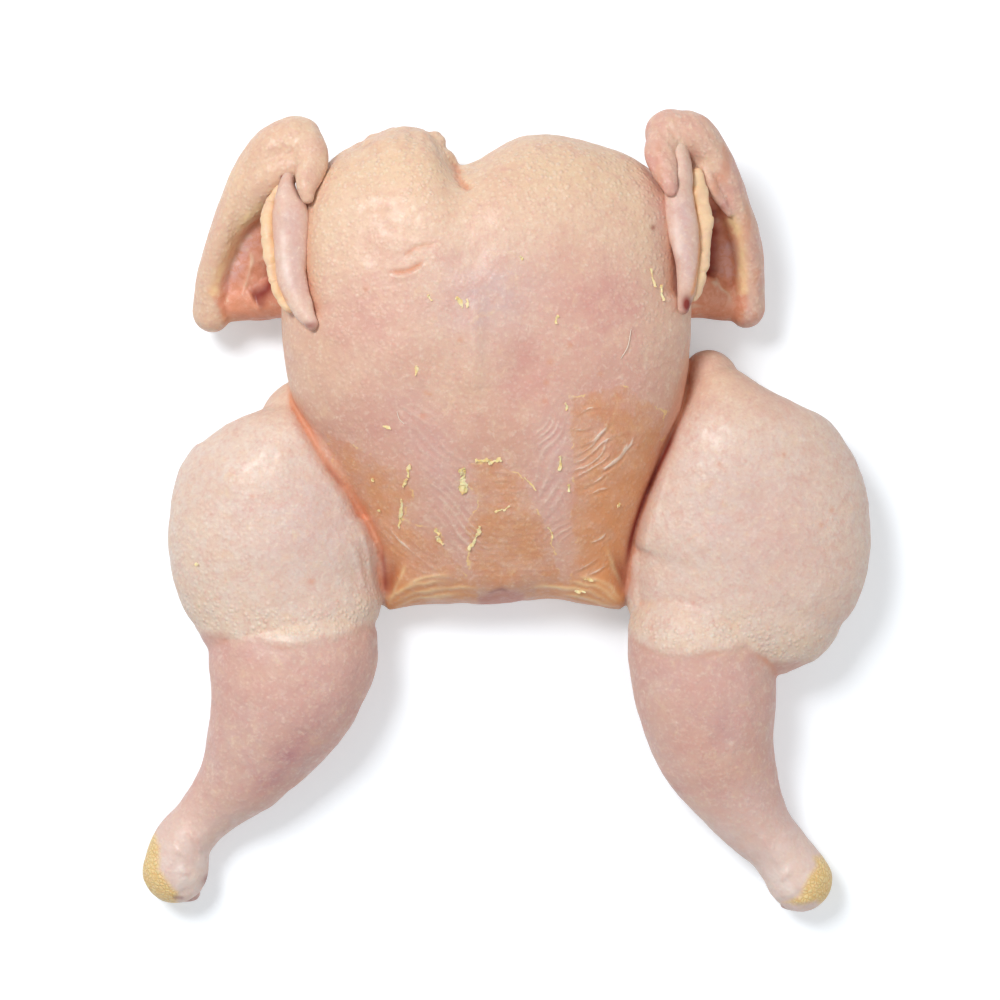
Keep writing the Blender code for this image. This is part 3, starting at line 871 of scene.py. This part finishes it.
def wing_colours(side, p, n, kind, hollow):
    """The wing's colour fields; kind tells flesh 0, hand 1 and frill 2 apart."""
    marks = WING_MARKS[side]
    left = side == "left"
    flesh, hand, frill = kind == 0, kind == 1, kind == 2
    raw = patch_field(p, marks["hollow"]) * flesh - 6 * ~flesh
    raw = np.where(p[:, 2] < (44 if left else 46), raw, -6)
    inner = stroke(p, marks["inner_edge"], 2.4, 0.05) * flesh
    if left:
        hand_line = [(-94, 136), (-92, 120), (-91.5, 105), (-88, 90)]
        gap = [(-100, 137), (-101.4, 129), (-101.3, 119), (-100.6, 108), (-98.6, 98), (-94, 90)]
        tip = blob(p, (-84, 81), (3, 1.6))
    else:
        hand_line = [(75, 140), (76, 122), (77.5, 106), (77, 96)]
        gap = [(81, 143), (81.5, 133), (83, 122), (82.6, 110), (81, 100), (79, 93)]
        tip = blob(p, (77.3, 90.5), (2.2, 4))
    streaks = ramp(noise(p * (1, 0.35, 1), 5, 73), 0.1, 0.7)
    bent = p + np.stack([1.2 * noise(p, 4, 91), 1.2 * noise(p, 4, 93), 0 * p[:, 0]], axis=1)
    tissue = stroke(bent, marks["tissue"], 1.0, 0.2) * (0.6 + 0.7 * noise(p, 3, 95))
    tissue = tissue + 0.8 * ramp(noise(p, 3.4, 97), 0.45, 0.8) * (raw > 2)
    pink = 0.3 * flesh + 0.35 * hand + 0.4 * blob(p, (-84, 150), (4, 12)) if left else 0.9 * flesh + 0.15 * hand
    zero = np.zeros(len(p))
    return {
        "pink": pink * (0.7 + 0.5 * noise(p, 8, 71)),
        "lilac": (0.7 if left else 0.9) * stroke(p, hand_line, 3.8, 0.2) * hand,
        "pale": 0.5 * hand,
        # white: a painted highlight along the bone ridge of the hand.
        "white": 0.8 * stroke(p, marks["shine"], 1.6, 0.3) * hand,
        "cream": (0.9 if left else 0.5) * flesh * (1 - 0.4 * inner),
        "yellow": 0.85 * inner + 0.6 * frill + (0.5 * stroke(p, [(100.4, 124.2), (99, 125)], 1.8) if not left else 0),
        # orange: painted shade along the gap between hand and frill; on the roll, the skin's own orange.
        "orange": 0.9 * stroke(p, gap, 1.1, 0.05) * (hand | frill) + 0.6 * stroke(p, marks["roll"], 4, 0.1) * flesh,
        "raw": np.clip(raw, -6, 6),
        "purple": stroke(p, marks["purple"], 5, 0.2) * flesh,
        "tissue": tissue * flesh * ramp(n[:, 2], 0, 0.4),
        # deep: dark red painted shade in the hollow of the fold and in the slit, partly the flesh's own dark red, plus
        # a dark spot at the hand's tip.
        "deep": (0.95 * stroke(bent, marks["dark"], 4.4, 0.1) + stroke(p, marks["slit"], 0.9, 0.2)) * flesh
        + (0.7 if left else 1.2) * tip * hand,
        # crease: painted shade in the hollows the mesh finds and under the roll, plus the flesh's own reddish streaks.
        "crease": 0.7 * ramp(hollow, 0.1, 0.5) + 0.3 * stroke(p, marks["roll"], 5, 0.1) * flesh
        + (0.08 if left else 0.45) * streaks * flesh,
        "fold": zero,
        # ripple: the same waves as the ripples in the wing's mesh, for painted light on their crests and painted shade
        # in their troughs.
        "ripple": (0.12 if left else 0.3) * waves(p, 62 if left else 118, 4.2, 5, 57) * flesh,
        "patch": zero - 6,
        "scale": zero - 6,
        "vent": zero - 6,
        "pimple": (0.55 * flesh + 0.2 * hand) * (raw < 0),
    }


def merged(name, mesh, surfaces):
    """A new mesh of an existing one and further closed surfaces, none of them joined."""
    corners = np.empty(len(mesh.loops), np.int32)
    mesh.loops.foreach_get("vertex_index", corners)
    totals = np.empty(len(mesh.polygons), np.int32)
    mesh.polygons.foreach_get("loop_total", totals)
    starts = np.concatenate([[0], np.cumsum(totals)[:-1]])
    groups = [(points_of(mesh),)]
    for sides in np.unique(totals):
        groups[0] += (corners[starts[totals == sides][:, None] + np.arange(sides)],)
    return new_mesh(name, groups + list(surfaces))


# ---------------------------------------------------------------------------------------------
# Loose things on the skin
# ---------------------------------------------------------------------------------------------

# Flakes of yellow outer skin: start and end in plan and half width.
FLAKES = [
    (-21.5, 91.5, -19, 88.5, 1.0), (-17.5, 91, -16.5, 88.5, 0.7), (5.5, 109.5, 7.2, 109, 0.7),
    (21.5, 85, 21, 81, 0.6), (-33, 93.5, -32.2, 90.2, 0.5), (-38, 63, -39.5, 59, 0.8), (-53, 37.4, -50, 36.8, 0.8),
    (24.6, 47.5, 25.6, 45, 0.6), (61, 105, 64, 98, 0.6), (66, 99, 67.5, 92, 0.6), (-41.2, 21.5, -43, 16, 1.0),
    (-42.6, 15.5, -45.4, 11.5, 0.9), (-45.2, 6.4, -47.4, -5.7, 0.8), (-19.4, 18.9, -18.6, 9.9, 1.9),
    (-13.8, 23.2, -8, 24, 0.9), (-8, 23, -2.6, 23.6, 1.0), (-30.6, -5.7, -29.4, -9, 0.8), (-30, -9, -28.2, -13.4, 1.0),
    (-11.4, -5.3, -13, -9, 0.9), (-13, -9, -16.6, -14.6, 0.8), (47.8, 3.4, 49.4, 5.4, 0.8), (-56.3, 2.3, -55, 1.9, 0.7),
    (-58, 16, -57.6, 14.2, 0.6), (30.4, -33.2, 33.6, -34.4, 0.9), (34.8, -28.6, 37.2, -29.4, 0.6),
    (22.6, 24.4, 22.2, 19.4, 0.7), (26.2, 12.6, 26.8, 10.6, 0.6), (-2, 2, 1.6, 4, 0.5), (-5.5, 1.6, -2, 2, 0.5),
    (-135.8, -21.5, -134.4, -22.3, 0.7), (8, 16, 12, 10, 0.4), (18, -6, 19.5, -10, 0.4),
]

# White hairs: points along each, in plan, with the height above the skin.
HAIRS = [
    [(52.9, 79.1, 0.1), (51.5, 72, 0.4), (48.6, 66.8, 0.1)],
    [(-47, 44, 0.1), (-46, 41, 0.3), (-44, 39, 0.1)],
]


def height_above_table(points, step=1.5):
    """A look-up of the skin's height from its upward points, kept in square cells and blended between them."""
    low = points[:, :2].min(axis=0)
    cell = ((points[:, :2] - low) / step).astype(int)
    grid = np.zeros(cell.max(axis=0) + 3)
    np.maximum.at(grid, (cell[:, 0], cell[:, 1]), points[:, 2])

    def at(places):
        f = (places[:, :2] - low) / step - 0.5
        i = np.clip(f.astype(int), 0, np.array(grid.shape) - 2)
        u, v = (f - i).T
        a, b = grid[i[:, 0], i[:, 1]], grid[i[:, 0] + 1, i[:, 1]]
        c, d = grid[i[:, 0], i[:, 1] + 1], grid[i[:, 0] + 1, i[:, 1] + 1]
        return a * (1 - u) * (1 - v) + b * u * (1 - v) + c * (1 - u) * v + d * u * v

    return at


def flake_surfaces(skin):
    """Each flake: a flat ragged tube that follows the skin and lifts a little at its ends."""
    height = height_above_table(skin)
    half_thick = sizes().flake_thickness / MM / 2
    surfaces = []
    for i, (x0, y0, x1, y1, half) in enumerate(FLAKES):
        share = np.linspace(0, 1, 5)
        x = x0 + (x1 - x0) * share + 0.5 * np.sin(3.1 * share + i)
        y = y0 + (y1 - y0) * share + 0.5 * np.cos(2.3 * share + i)
        lift = 0.1 + 0.5 * (2 * share - 1) ** 2
        width = half * (0.45 + 0.6 * np.sin(2.6 * i + 3.2 * share) ** 2)
        z = height(np.stack([x, y], axis=1)) - 0.1 + lift
        points, *faces = tube(np.stack([x, y, z, width, np.full(5, half_thick)], axis=1), 36, 18, 3)
        rough = np.stack([noise(points, 1.1, seed, 2) for seed in (81, 83, 85)], axis=1)
        points = points + 0.5 * half * rough * (1, 1, 0.35)
        surfaces.append((points, *faces))
    return surfaces


def hair_surfaces(skin):
    """Each hair: a thin round tube along its points."""
    height = height_above_table(skin)
    half_width = sizes().hair_width / MM / 2
    surfaces = []
    for hair in HAIRS:
        line = np.array(hair, float)
        z = height(line) + line[:, 2] + 0.1
        width = np.full(len(line), half_width)
        stations = np.stack([line[:, 0], line[:, 1], z, width, width], axis=1)
        surfaces.append(tube(stations, 24, 8, 3))
    return surfaces


# The bone ends at the hocks: middle, radii, how far each is turned to face the camera, in plan.
def bone_end_surface(middle, radii, tilt, hole):
    """A disc-like knob whose face is dished: a squashed ball whose front is pressed in by a bell."""
    u = np.linspace(0, np.pi, 42)[1:-1, None]
    v = np.linspace(0, 2 * np.pi, 60, endpoint=False)[None]
    ball = np.stack([np.sin(u) * np.cos(v), -np.cos(u) + 0 * v, np.sin(u) * np.sin(v)], axis=-1)
    front = ball[..., 1] < 0
    across = np.hypot(ball[..., 0], ball[..., 2])
    ball[..., 1] += front * hole * bell(across, 0, 0.55)
    ball *= radii
    first, last = np.array([0, (hole - 1) * radii[1], 0]), np.array([0, radii[1], 0])
    angle = np.radians(tilt)
    turn = np.array([[1, 0, 0], [0, np.cos(angle), -np.sin(angle)], [0, np.sin(angle), np.cos(angle)]])
    points, *faces = closed_grid(ball, first, last)
    points = points @ turn.T + middle
    return points + 0.35 * np.stack([noise(points, 2.2, s) for s in (91, 93, 95)], axis=1), *faces


def bone_hole(middle, radii, tilt):
    """The middle of the dished face of a joint end."""
    angle = np.radians(tilt)
    return np.array(middle, float) + np.array([0, -np.cos(angle), -np.sin(angle)]) * radii[1] * (0.2, 0.2, 0.2)


# ---------------------------------------------------------------------------------------------
# Materials
# ---------------------------------------------------------------------------------------------


class Value:
    """A shader socket that works in Python expressions: each operation adds one Math node."""

    def __init__(self, tree, socket):
        self.tree = tree
        self.socket = socket

    def math(self, operation, *others, clamp=False):
        node = self.tree.nodes.new("ShaderNodeMath")
        node.operation = operation
        node.use_clamp = clamp
        for slot, value in zip(node.inputs, others):
            connect(self.tree, slot, value)
        return Value(self.tree, node.outputs[0])

    def __add__(self, other):
        return self.math("ADD", self, other)

    __radd__ = __add__

    def __sub__(self, other):
        return self.math("SUBTRACT", self, other)

    def __rsub__(self, other):
        return self.math("SUBTRACT", other, self)

    def __mul__(self, other):
        return self.math("MULTIPLY", self, other)

    __rmul__ = __mul__

    def __pow__(self, other):
        return self.math("POWER", self, other)

    def clamped(self):
        return self.math("ADD", self, 0.0, clamp=True)

    def between(self, low, high):
        """0 below low, 1 above high and smooth between; high may be the smaller."""
        node = self.tree.nodes.new("ShaderNodeMapRange")
        node.interpolation_type = "SMOOTHSTEP"
        connect(self.tree, node.inputs["Value"], self)
        node.inputs["From Min"].default_value = low
        node.inputs["From Max"].default_value = high
        return Value(self.tree, node.outputs[0])


def connect(tree, slot, value):
    """Sets a socket from a number, a colour or another node's output."""
    if isinstance(value, Value):
        tree.links.new(value.socket, slot)
    else:
        slot.default_value = value


def linear(red, green, blue):
    """An sRGB colour of 0 to 255 as linear RGBA."""
    c = np.array([red, green, blue]) / 255.0
    c = np.where(c <= 0.04045, c / 12.92, ((c + 0.055) / 1.055) ** 2.4)
    return (*[float(v) for v in c], 1.0)


class Shader:
    """Builds one material's nodes."""

    def __init__(self, name, **constants):
        self.material = bpy.data.materials.new(name)
        self.material.use_nodes = True
        self.tree = self.material.node_tree
        self.surface = self.tree.nodes["Principled BSDF"]
        for socket, value in constants.items():
            self.surface.inputs[socket.replace("_", " ")].default_value = value

    def node(self, kind, settings=None, output=0, **sockets):
        """A node of a kind, its settings first and then its sockets; returns one of its outputs."""
        node = self.tree.nodes.new("ShaderNode" + kind)
        for key, value in (settings or {}).items():
            setattr(node, key, value)
        for key, value in sockets.items():
            connect(self.tree, node.inputs[key.replace("_", " ")], value)
        return Value(self.tree, node.outputs[output])

    def field(self, name):
        return self.node("Attribute", {"attribute_name": name}, output="Fac")

    def place(self, stretch=(1, 1, 1), turn=(0, 0, 0)):
        """The piece's own coordinates in millimetres, stretched and turned."""
        coordinates = self.node("TexCoord", output="Object")
        scale = tuple(s / MM for s in stretch)
        return self.node("Mapping", {"vector_type": "TEXTURE"}, Vector=coordinates, Rotation=turn,
                         Scale=tuple(1 / s for s in scale))

    def grain(self, size, detail=2.0, rough=0.5, warp=0.0, where=None):
        """Noise from 0 to 1 with features of a size in millimetres."""
        return self.node("TexNoise", Vector=where or self.place(), Scale=1 / size, Detail=detail,
                         Roughness=rough, Distortion=warp)

    def cells(self, size, where=None, feature="F1"):
        return self.node("TexVoronoi", {"feature": feature}, Vector=where or self.place(), Scale=1 / size)

    def mix(self, factor, first, second, blend="MIX"):
        node = self.tree.nodes.new("ShaderNodeMix")
        node.data_type = "RGBA"
        node.blend_type = blend
        node.clamp_factor = True
        connect(self.tree, node.inputs[0], factor)
        connect(self.tree, node.inputs[6], first)
        connect(self.tree, node.inputs[7], second)
        return Value(self.tree, node.outputs[2])

    def bump(self, height, distance, strength=1.0, under=None):
        """Bump from a height of 0 to 1 that stands for a distance in millimetres."""
        sockets = {"Height": height, "Distance": distance * MM, "Strength": strength}
        if under is not None:
            sockets["Normal"] = under
        return self.node("Bump", **sockets)

    def finish(self, **sockets):
        for key, value in sockets.items():
            connect(self.tree, self.surface.inputs[key.replace("_", " ")], value)
        return self.material


def colour(name, description, red, green, blue):
    """A colour property whose default is given in sRGB."""
    return bpy.props.FloatVectorProperty(
        name=name, description=description, subtype="COLOR", size=4, min=0, max=1, default=linear(red, green, blue)
    )


class ChickenColours(bpy.types.PropertyGroup):
    """Colours of the skin and of what is left on it"""

    skin: colour("Skin", "Plain skin", 229, 196, 171)
    warm: colour("Warm", "Slightly redder skin between it", 222, 181, 158)
    cream: colour("Cream", "Fatty skin with follicles", 232, 201, 166)
    pale: colour("Pale", "Tight pale skin of the thighs", 226, 210, 199)
    pink: colour("Pink", "Flushed skin and thin mottling", 214, 160, 148)
    lilac: colour("Lilac", "Skin with muscle close under it", 212, 182, 178)
    bruise: colour("Bruise", "Bruised skin of a drumstick", 192, 138, 140)
    belly: colour("Belly", "Thin skin toward the vent", 208, 161, 137)
    patch: colour("Patch", "Stain of the outer skin left on the belly, multiplied in", 254, 230, 194)
    # Patch light is painted as a highlight on the crests of the stain's fine wrinkles.
    patch_light: colour("Patch light", "Dry streaks in the outer skin", 240, 202, 160)
    patch_edge: colour("Patch edge", "Torn rim of the outer skin", 240, 208, 140)
    orange: colour("Orange", "Yellow fat that shows at the vent", 224, 152, 98)
    vent: colour("Vent", "Inside of the vent", 200, 134, 118)
    # Crease is painted shade in folds and hollows; it also colours the real blood spots and the blotches of bare flesh.
    crease: colour("Crease", "Folds and hollows", 214, 140, 104)
    # Deep is dark red painted shade in pockets, gaps and slits; it also colours a few small dark spots.
    deep: colour("Deep", "Clotted dark places", 136, 44, 34)
    # Fold is painted as a highlight on the crests of wrinkles and ripples; it also colours pale follicles and mottling.
    fold: colour("Fold", "Crests of wrinkles and follicles", 246, 228, 210)
    # White also paints the highlight along the wings' hands.
    white: colour("White", "Gristle at the hocks", 238, 218, 208)
    scale: colour("Scale", "Scales left on the hocks", 246, 216, 156)
    scale_gap: colour("Scale gap", "Skin between those scales", 226, 178, 104)
    # Yellow is also painted on the crests of the folds at the vent's corners as a highlight.
    yellow: colour("Yellow", "Fat close to the skin", 248, 218, 168)
    raw: colour("Raw", "Bare flesh inside the folded wing", 226, 158, 130)
    purple: colour("Purple", "Muscle of that flesh", 222, 178, 172)
    tissue: colour("Tissue", "Pale tissue on it", 232, 200, 172)


def skin_material():
    """Raw skin: pale and moist, tinted by the fields of its mesh, with mottling and follicles, painted shade in its
    creases and hollows, and painted highlights on crests and along the wings' hands.
    """
    chosen = bpy.context.scene.chicken_colours
    c = {name: tuple(getattr(chosen, name)) for name in ChickenColours.__annotations__}
    s = Shader("raw_skin", Subsurface_Weight=0.15, Subsurface_Radius=(1.0, 0.35, 0.2), Subsurface_Scale=0.002,
               Specular_IOR_Level=0.42, Coat_Roughness=0.2)
    broad, medium, fine = s.grain(22, 2), s.grain(6.5, 3, 0.6, 0.4), s.grain(1.6, 2, 0.6)
    follicles = s.cells(2.3)
    pimple, fold, crease, patch = s.field("pimple"), s.field("fold"), s.field("crease"), s.field("patch")
    uneven = medium.between(0.3, 0.7) * 0.5 + 0.6

    colour = s.mix(broad.between(0.35, 0.7), c["skin"], c["warm"])
    colour = s.mix(s.field("cream") * 0.8, colour, c["cream"])
    for name, strength in (("pale", 0.9), ("belly", 0.8), ("lilac", 1.0), ("pink", 1.0), ("bruise", 1.0)):
        colour = s.mix(s.field(name) * uneven * strength, colour, c[name])
    blotch = s.grain(3.4, 3, 0.65, 0.6)
    net = s.grain(9, 4, 0.7, 0.8)
    colour = s.mix(net.between(0.5, 0.72) * 0.4, colour, c["pink"])
    colour = s.mix(net.between(0.46, 0.26) * 0.45, colour, c["cream"])
    colour = s.mix(blotch.between(0.48, 0.72) * 0.3 + fine.between(0.45, 0.75) * 0.25, colour, c["pink"])
    colour = s.mix(blotch.between(0.47, 0.28) * 0.25 + fine.between(0.42, 0.2) * 0.3, colour, c["fold"])

    edge = patch + (s.grain(8, 4, 0.65) - 0.5) * 11.0
    inside = edge.between(-0.8, 1.2)
    thin = edge.between(0.0, 9.0) * 0.3 + s.grain(10, 4, 0.65).between(0.35, 0.65) * 0.6 + 0.15
    streak = s.grain(1.5, 3, 0.6, where=s.place(stretch=(7, 1, 3)))
    stained = s.mix(1.0, colour, c["patch"], "MULTIPLY")
    colour = s.mix(inside * thin, colour, stained)
    # Painted highlight: the crests of the stain's fine wrinkles lightened.
    colour = s.mix(inside * streak.between(0.5, 0.75) * 0.3, colour, c["patch_light"])
    rim = (1 - edge.math("ABSOLUTE", edge).between(0.0, 0.7)) * s.grain(7, 2).between(0.5, 0.62)
    colour = s.mix(rim * 0.8, colour, c["patch_edge"])
    colour = s.mix(s.field("orange") * uneven, colour, c["orange"])
    inner = (s.field("vent") + (medium - 0.5) * 2.0).between(-0.8, 2.0)
    colour = s.mix(inner * 0.85, colour, c["vent"])

    # Painted light and shade along the ripples in the mesh: crests lighter, troughs pinker.
    ripple = s.field("ripple")
    colour = s.mix(ripple.between(0.1, 0.8) * 0.3, colour, c["fold"])
    colour = s.mix((0 - ripple).between(0.1, 0.7) * 0.55, colour, c["pink"])

    raw = s.field("raw") + (s.grain(3, 3) - 0.5) * 2.0
    flesh = s.mix(s.field("purple") * uneven, c["raw"], c["purple"])
    flesh = s.mix(blotch.between(0.45, 0.62) * 0.6, flesh, c["crease"])
    flesh = s.mix(blotch.between(0.42, 0.3) * 0.5, flesh, c["tissue"])
    open_flesh = raw.between(-1.6, 1.6)
    colour = s.mix(open_flesh, colour, flesh)
    # Yellow here also lightens the crests at the vent's corners as a painted highlight, and white paints a highlight
    # along the wings' hands.
    for name in ("yellow", "tissue", "white"):
        colour = s.mix(s.field(name) * uneven, colour, c[name])

    scales = s.cells(1.9, feature="DISTANCE_TO_EDGE")
    horny = (s.field("scale") + (medium - 0.5) * 3.0).between(-1.2, 2.4)
    plate = s.mix(scales.between(0.0, 0.2) * 0.6 + 0.4, c["scale_gap"], c["scale"])
    colour = s.mix(horny, colour, plate)

    colour = s.mix(follicles.between(0.45, 0.1) * pimple * 0.35, colour, c["fold"])
    # Painted shade: creases and hollows turned red-brown.
    colour = s.mix(crease * (medium * 0.5 + 0.6), colour, c["crease"])
    colour = s.mix(s.field("blood") * 0.6, colour, c["crease"])
    # Painted shade: dark red in pockets, gaps and slits.
    colour = s.mix(s.field("deep"), colour, c["deep"])
    # Painted highlight: the crests of wrinkles lightened.
    colour = s.mix(fold.between(0.25, 0.9) * 0.75, colour, c["fold"])

    normal = s.bump(medium * 0.6 + fine * 0.3 + streak * inside * 0.4, 0.5, 0.7)
    normal = s.bump(follicles.between(0.6, 0.0) * pimple, 0.45, 0.8, normal)
    normal = s.bump(scales.between(0.0, 0.25) * horny, 0.25, 1.0, normal)
    gloss = s.grain(4.5, 3, 0.6)
    return s.finish(
        Base_Color=colour,
        Roughness=gloss.between(0.3, 0.7) * 0.2 + 0.4,
        Coat_Weight=s.grain(5, 3).between(0.45, 0.65) * 0.18,
        Normal=normal,
    )


def flake_material():
    """Dry yellow outer skin."""
    s = Shader("yellow_flakes", Subsurface_Weight=0.2, Subsurface_Scale=0.001)
    tone = s.mix(s.grain(2.5, 2).between(0.35, 0.7), linear(248, 230, 182), linear(240, 206, 138))
    return s.finish(Base_Color=tone, Roughness=s.grain(1.5) * 0.2 + 0.45)


def hair_material():
    """Pale horny hair."""
    s = Shader("pale_hair")
    return s.finish(Base_Color=linear(240, 228, 212), Roughness=0.5)


def bone_material():
    """The cut joint: pinkish white gristle round a dark red hole."""
    s = Shader("joint_end", Subsurface_Weight=0.1, Subsurface_Scale=0.001)
    tone = s.mix(s.grain(3, 3).between(0.3, 0.7), linear(214, 178, 166), linear(190, 140, 128))
    tone = s.mix(s.field("hole"), tone, linear(92, 30, 40))
    return s.finish(Base_Color=tone, Roughness=s.grain(2) * 0.2 + 0.3, Normal=s.bump(s.grain(1.2, 2), 0.3, 0.5))


def stage_material():
    """A white floor: the camera and reflections see it brighter, so that only the shadow stays grey."""
    s = Shader("white_floor", Roughness=0.9)
    s.surface.inputs["Specular IOR Level"].default_value = 0.0
    rays = s.tree.nodes.new("ShaderNodeLightPath")
    seen = (
        Value(s.tree, rays.outputs["Is Camera Ray"])
        + Value(s.tree, rays.outputs["Is Glossy Ray"])
        + Value(s.tree, rays.outputs["Is Transmission Ray"])
    )
    return s.finish(
        Base_Color=(0.82, 0.87, 0.92, 1.0), Emission_Color=(1.0, 1.0, 1.0, 1.0), Emission_Strength=seen * 0.3
    )


# ---------------------------------------------------------------------------------------------
# Operators
# ---------------------------------------------------------------------------------------------


def material(name, maker):
    """The named material, made once."""
    return bpy.data.materials.get(name) or maker()


def add_piece(name, mesh, looks):
    """Puts a finished mesh in the scene with its material, moved by the bird's one body."""
    mesh.materials.clear()
    mesh.materials.append(looks)
    piece = add_object(name, mesh)
    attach(piece, "root")
    return piece


def skin_points():
    """The points of the body's skin that face up, in millimetres."""
    mesh = bpy.data.objects["body_skin"].data
    return points_of(mesh)[normals_of(mesh)[:, 2] > 0.05]


class CHICKEN_OT_body(bpy.types.Operator):
    """Makes the skin of the trunk and legs"""

    bl_idname = "chicken.body"
    bl_label = "Body"

    def execute(self, context):
        piece = add_piece("body_skin", body_mesh(), material("raw_skin", skin_material))
        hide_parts(NODE)
        return {"FINISHED"}


class CHICKEN_OT_wings(bpy.types.Operator):
    """Makes the two folded wings"""

    bl_idname = "chicken.wings"
    bl_label = "Wings"

    def execute(self, context):
        for side in ("left", "right"):
            add_piece("wing_" + side, wing_mesh(side), material("raw_skin", skin_material))
        return {"FINISHED"}


class CHICKEN_OT_joint_ends(bpy.types.Operator):
    """Makes the gristle of the two cut hock joints"""

    bl_idname = "chicken.joint_ends"
    bl_label = "Joint ends"

    def execute(self, context):
        for name, middle, radii, tilt, hole in (
            ("joint_end_left", (-143.5, -169.5, 13), (6.5, 3.2, 6.5), -35, 0.2),
            ("joint_end_right", (129, -172, 15), (7.5, 5.0, 7), -42, 1.1),
        ):
            points, *faces = bone_end_surface(np.array(middle, float), np.array(radii, float), tilt, hole)
            mesh = new_mesh(name, [(points, *faces)])
            add_piece(name, mesh, material("joint_end", bone_material))
            deep = bell(np.linalg.norm(points - bone_hole(middle, radii, tilt), axis=1), 0, 3.2)
            set_field(mesh, "hole", deep * (1.0 if hole > 0.5 else 0.25))
        return {"FINISHED"}


class CHICKEN_OT_flakes(bpy.types.Operator):
    """Scatters the flakes of yellow outer skin and the hairs"""

    bl_idname = "chicken.flakes"
    bl_label = "Flakes and hairs"

    def execute(self, context):
        skin = skin_points()
        add_piece("yellow_flakes", new_mesh("yellow_flakes", flake_surfaces(skin)),
                  material("yellow_flakes", flake_material))
        add_piece("hairs", new_mesh("hairs", hair_surfaces(skin)), material("pale_hair", hair_material))
        return {"FINISHED"}


class CHICKEN_OT_stage(bpy.types.Operator):
    """Makes the floor, the lights and the camera"""

    bl_idname = "chicken.stage"
    bl_label = "Stage"

    def execute(self, context):
        scene = context.scene
        mesh = bpy.data.meshes.new("floor")
        mesh.from_pydata([(-3, -3, 0), (3, -3, 0), (3, 3, 0), (-3, 3, 0)], [], [(0, 1, 2, 3)])
        mesh.materials.append(stage_material())
        add_object("floor", mesh)
        for name, place, size, watts in (
            ("key", (-0.6, 0.64, 1.42), 0.5, sizes().key_power),
            ("fill", (0.9, -0.5, 1.3), 1.2, sizes().fill_power),
        ):
            lamp = bpy.data.lights.new(name, "AREA")
            lamp.size = size
            lamp.energy = watts
            light = bpy.data.objects.new(name, lamp)
            light.location = place
            light.rotation_mode = "QUATERNION"
            light.rotation_quaternion = light.location.to_track_quat("Z", "Y")
            scene.collection.objects.link(light)
        world = bpy.data.worlds.new("studio")
        world.use_nodes = True
        world.node_tree.nodes["Background"].inputs["Color"].default_value = (1, 1, 1, 1)
        world.node_tree.nodes["Background"].inputs["Strength"].default_value = sizes().sky
        scene.world = world
        camera = bpy.data.cameras.new("camera")
        camera.lens = 103.5
        camera.sensor_width = 36
        eye = bpy.data.objects.new("camera", camera)
        eye.location = (-0.003, 0.0064, 1.3)
        scene.collection.objects.link(eye)
        scene.camera = eye
        scene.view_settings.view_transform = "Standard"
        return {"FINISHED"}


class CHICKEN_PT_panel(bpy.types.Panel):
    """Lists the steps that build the bird"""

    bl_idname = "CHICKEN_PT_panel"
    bl_label = "Raw chicken"
    bl_space_type = "VIEW_3D"
    bl_region_type = "UI"
    bl_category = "Raw chicken"

    def draw(self, context):
        for step in STEPS:
            self.layout.operator(step.bl_idname)
        for group in (context.scene.chicken_sizes, context.scene.chicken_colours):
            for name in type(group).__annotations__:
                self.layout.prop(group, name)


STEPS = (
    CHICKEN_OT_body, CHICKEN_OT_wings, CHICKEN_OT_joint_ends, CHICKEN_OT_flakes, CHICKEN_OT_stage,
)
CLASSES = (ChickenSizes, ChickenColours, *STEPS, CHICKEN_PT_panel)


def register():
    for kind in CLASSES:
        bpy.utils.register_class(kind)
    bpy.types.Scene.chicken_sizes = bpy.props.PointerProperty(type=ChickenSizes)
    bpy.types.Scene.chicken_colours = bpy.props.PointerProperty(type=ChickenColours)


def unregister():
    del bpy.types.Scene.chicken_colours
    del bpy.types.Scene.chicken_sizes
    for kind in reversed(CLASSES):
        bpy.utils.unregister_class(kind)


def main():
    register()
    for step in STEPS:
        getattr(bpy.ops.chicken, step.bl_idname.split(".")[1])()


if __name__ == "__main__":
    main()
